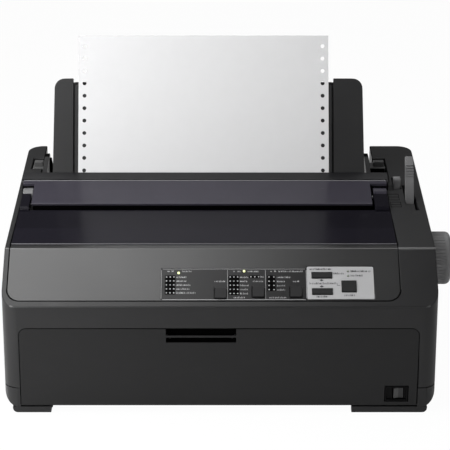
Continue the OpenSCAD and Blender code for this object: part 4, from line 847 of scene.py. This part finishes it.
def roof_marks():
    """Plain frames with a middle line, moulded beside the levers, painted near black as painted shade of
    their relief.
    """
    bm = bmesh.new()
    for x0, x1, y0, y1 in ROOF_MARKS:
        middle = (y0 + y1) / 2
        for a, b in ((y0, y0 + END_LINE_W), (y1 - END_LINE_W, y1),
                     (middle - END_LINE_W / 2, middle + END_LINE_W / 2)):
            add_block(bm, x0, x1, a, b, LINE_LOW, LINE_HIGH, ROOF)
        for x in (x0, x1 - SIDE_LINE_W):
            add_block(bm, x, x + SIDE_LINE_W, y0, y1, LINE_LOW, LINE_HIGH, ROOF)
    # Painted shade: the raised marks take the near-black finish
    piece_on("upper_housing", "roof_marks", "recess", bm)


CORNER_STEPS = 8
STEP_REACH = 0.12
SEAM_OUT = 0.38
SEAM_LOW = -0.4
SEAM_HIGH = 0.05
DOOR_SEAM_HIGH = 0.04
# The low side and the open end of a seam, along its plane; the door's seam has its left and right first
PANEL_SEAM = (-57.2, -0.3)
PANEL_SEAM_CORNER = 11.0
PANEL_SEAM_W = 0.65
ROOF_SEAM = (0.3, 128)
ROOF_SEAM_HALF_W = 0.33
DOOR_SEAM = (-184.87, 186.87, -85.37, -9)
DOOR_SEAM_CORNER = 7.4
DOOR_SEAM_W = 0.5


def seam(bm, turn, x0, x1, y0, y1, low, high, radius, width):
    """A dark line of painted shadow round three sides of an opening, with two rounded corners on its low
    side; y1 is the open end. The steps of a corner reach a little over each other."""
    for x, side in ((x0, 1), (x1, -1)):
        add_block(bm, x - width / 2, x + width / 2, y0 + radius, y1, low, high, turn)
        for k in range(CORNER_STEPS):
            angle = QUARTER_TURN * (k + 0.5) / CORNER_STEPS
            at = Matrix.Translation((x + side * radius * (1 - math.cos(angle)),
                                     y0 + radius * (1 - math.sin(angle)), 0))
            step = turn @ at @ Matrix.Rotation(side * angle, 4, "Z")
            reach = radius * STEP_REACH
            add_block(bm, -width / 2, width / 2, -reach, reach, low, high, step)
    add_block(bm, x0 + radius, x1 - radius, y0 - width / 2, y0 + width / 2, low, high, turn)


def seam_shadow_lines():
    """Painted shadow lines over the gaps round the lids and round the front door."""
    bm = bmesh.new()
    left = LID_LEFT - SEAM_OUT
    right = LID_RIGHT + SEAM_OUT
    seam(bm, SLOPE, left, right, *PANEL_SEAM, SEAM_LOW, SEAM_HIGH, PANEL_SEAM_CORNER, PANEL_SEAM_W)
    for x in (left, right):
        add_block(bm, x - ROOF_SEAM_HALF_W, x + ROOF_SEAM_HALF_W, *ROOF_SEAM, SEAM_LOW, SEAM_HIGH, ROOF)
    upright = Matrix.Rotation(QUARTER_TURN, 4, "X") @ Matrix.Rotation(2 * QUARTER_TURN, 4, "Z")
    front = Matrix.Translation((0, FRONT_Y, 0)) @ upright
    seam(bm, front, *DOOR_SEAM, SEAM_LOW, DOOR_SEAM_HIGH, DOOR_SEAM_CORNER, DOOR_SEAM_W)
    # Painted shadow: near-black lines over the seams
    piece_on("upper_housing", "seam_shadow_lines", "recess", bm)


lid_fittings()
rear_screws()
guide_fittings()
front_skirts()
grip_ends()
roof_marks()
seam_shadow_lines()


# ---------------------------------------------------------------- printed marks of the panel
INK_H = 0.06
LINE_H = 0.05
DASH_H = 0.04
FIELD_H = 0.03
DOT_SIDES = 10
STROKE_W = 0.38
DASH_W = 0.9
DASH_SHARE = 0.45
SMALL_PRINT = 1.9
PLATE_PRINT = 2.3
CORNER_CUT = 1.2
LABEL_TOP = 22.6
LABEL_FOOT = 55.5

# The panel's marks are placed by x and by v, the way down the slope. A field: left, right and lower edge
FIELD_TOP = 29.6
FIELDS = ((-51.2, -41.4, 50.0), (7.9, 18.0, 50.6), (44.0, 51.6, 46.4), (27.2, 37.4, 32.4))
# left, right, upper and lower edge of a grid of dots, how many across and down, radius
DOTS = (
    (-49.7, -42.9, 31.2, 48.3, 3, 5, 0.66),
    (9.5, 16.4, 31.2, 48.9, 3, 5, 0.66),
    (45.6, 50.1, 31.2, 44.8, 2, 4, 0.66),
    (28.8, 36.0, 31.0, 31.0, 3, 1, 0.6),
)
# left end, v and length of a line of print
PANEL_LINES = (
    (-35, 25.1, 8.7), (25.8, 25.1, 9.8), (54.6, 25.1, 22.3), (-49, 24.9, 2), (-45, 24.9, 2),
    (12.4, 24.9, 2), (16.4, 24.9, 2), (47, 24.9, 2), (50.6, 24.9, 2), (37.8, 31, 3),
    (-5, 35.8, 9.5), (30.6, 35.8, 9.5), (67.8, 35.8, 5.5), (12.7, 53.2, 10), (45.6, 53.2, 16),
)
PLATE_LINES = (
    (83.6, 22.9, 20.5), (83.2, 38.3, 24.5), (89.4, 52.4, 10.6), (105.5, 27.6, 9.5),
    (121.8, 25.1, 18.5), (121.8, 29.8, 11.5), (115.2, 50.9, 9.4),
)
# left end, v of the first and last line, and the length of each line of a list
LISTS = (
    (-40.8, 31.4, 48.2, (9, 9.5, 13, 12.4, 17.7)),
    (18.6, 31.4, 48.9, (7, 6.5, 7.5, 7, 7)),
    (53, 31.4, 44.9, (12, 7, 7.5, 8)),
)
LABEL_SIDES = (-54.6, 80.4)
FRAME_W = 0.5
RULES = (7.0, 42.3)
RULE_SPAN = (23.5, 54.5)
RULE_HALF_W = 0.15
DIAMOND_X = 94.4
DIAMONDS = (35.0, 41.7)
DIAMOND_R = 1.2
DIAMOND_STRETCH = 1.6
# left, right, upper and lower edge of the two arms of the corner mark
CORNER_MARK = ((108.6, 109.0, 37.8, 40.6), (108.6, 111.6, 40.3, 40.7))


def add_dots(bm, x0, x1, v0, v1, across, down, radius):
    """A grid of printed dots between two corners."""
    for i in range(across):
        for j in range(down):
            x = x0 + (x1 - x0) * (i / (across - 1) if across > 1 else 0)
            v = v0 + (v1 - v0) * (j / (down - 1) if down > 1 else 0)
            add_disc(bm, (x, -v, LABEL_FACE), radius, INK_H, SLOPE, DOT_SIDES)


def patch(bm, x0, x1, v0, v1, height=LINE_H, face=LABEL_FACE):
    """A flat printed area."""
    add_block(bm, x0, x1, -v1, -v0, face, face + height, SLOPE)


def strokes(bm, x, v, length, tall=SMALL_PRINT, face=LABEL_FACE):
    """A row of fine upright strokes, as a line of small print looks from afar; it spells nothing."""
    end = x + length
    while x < end:
        rise = tall * CHANCE.choice((0.7, 0.7, 0.85, 1.0))
        patch(bm, x, x + STROKE_W, v + tall / 2 - rise, v + tall / 2, LINE_H, face)
        if CHANCE.random() < DASH_SHARE:
            upper = v + CHANCE.choice((-0.2, 0.2)) * tall
            lower = v + CHANCE.choice((0.28, 0.4)) * tall
            patch(bm, x, x + DASH_W, upper, lower, DASH_H, face)
        x += CHANCE.choice((0.8, 0.95, 1.3))


def outline(bm, x0, x1, v0, v1, width):
    """A thin printed frame whose corners are left open."""
    for v in (v0, v1):
        patch(bm, x0 + CORNER_CUT, x1 - CORNER_CUT, v - width / 2, v + width / 2)
    for x in (x0, x1):
        patch(bm, x - width / 2, x + width / 2, v0 + CORNER_CUT, v1 - CORNER_CUT)


def panel_marks():
    """Fields, dots, lines of print and frames on the label of the control panel."""
    bm = bmesh.new()
    for x0, x1, lower in FIELDS:
        patch(bm, x0, x1, FIELD_TOP, lower, FIELD_H)
    piece_on("control_panel", "lamp_fields", "recess", bm)
    bm = bmesh.new()
    for grid in DOTS:
        add_dots(bm, *grid)
    piece_on("control_panel", "panel_dots", "ink", bm)
    bm = bmesh.new()
    for x, v, length in PANEL_LINES:
        strokes(bm, x, v, length)
    for x, v0, v1, lengths in LISTS:
        for j, length in enumerate(lengths):
            strokes(bm, x, v0 + (v1 - v0) * j / (len(lengths) - 1), length)
    piece_on("control_panel", "panel_print", "dim_ink", bm)
    bm = bmesh.new()
    outline(bm, *LABEL_SIDES, LABEL_TOP, LABEL_FOOT, FRAME_W)
    for x in RULES:
        patch(bm, x - RULE_HALF_W, x + RULE_HALF_W, *RULE_SPAN)
    piece_on("control_panel", "panel_frame", "frame_ink", bm)


def plate_marks():
    """Diamonds, lines of print and a corner mark on the key plate."""
    bm = bmesh.new()
    for v in DIAMONDS:
        verts = add_disc(bm, (DIAMOND_X, -v, PLATE_FACE), DIAMOND_R, INK_H, SLOPE, sides=4)
        middle = SLOPE @ Matrix.Translation((DIAMOND_X, -v, 0))
        bmesh.ops.scale(bm, verts=verts, vec=(DIAMOND_STRETCH, 1, 1), space=middle.inverted())
    for x, v, length in PLATE_LINES:
        strokes(bm, x, v, length, PLATE_PRINT, PLATE_FACE)
    for arm in CORNER_MARK:
        patch(bm, *arm, LINE_H, PLATE_FACE)
    piece_on("key_plate", "plate_print", "black_ink", bm)


panel_marks()
plate_marks()
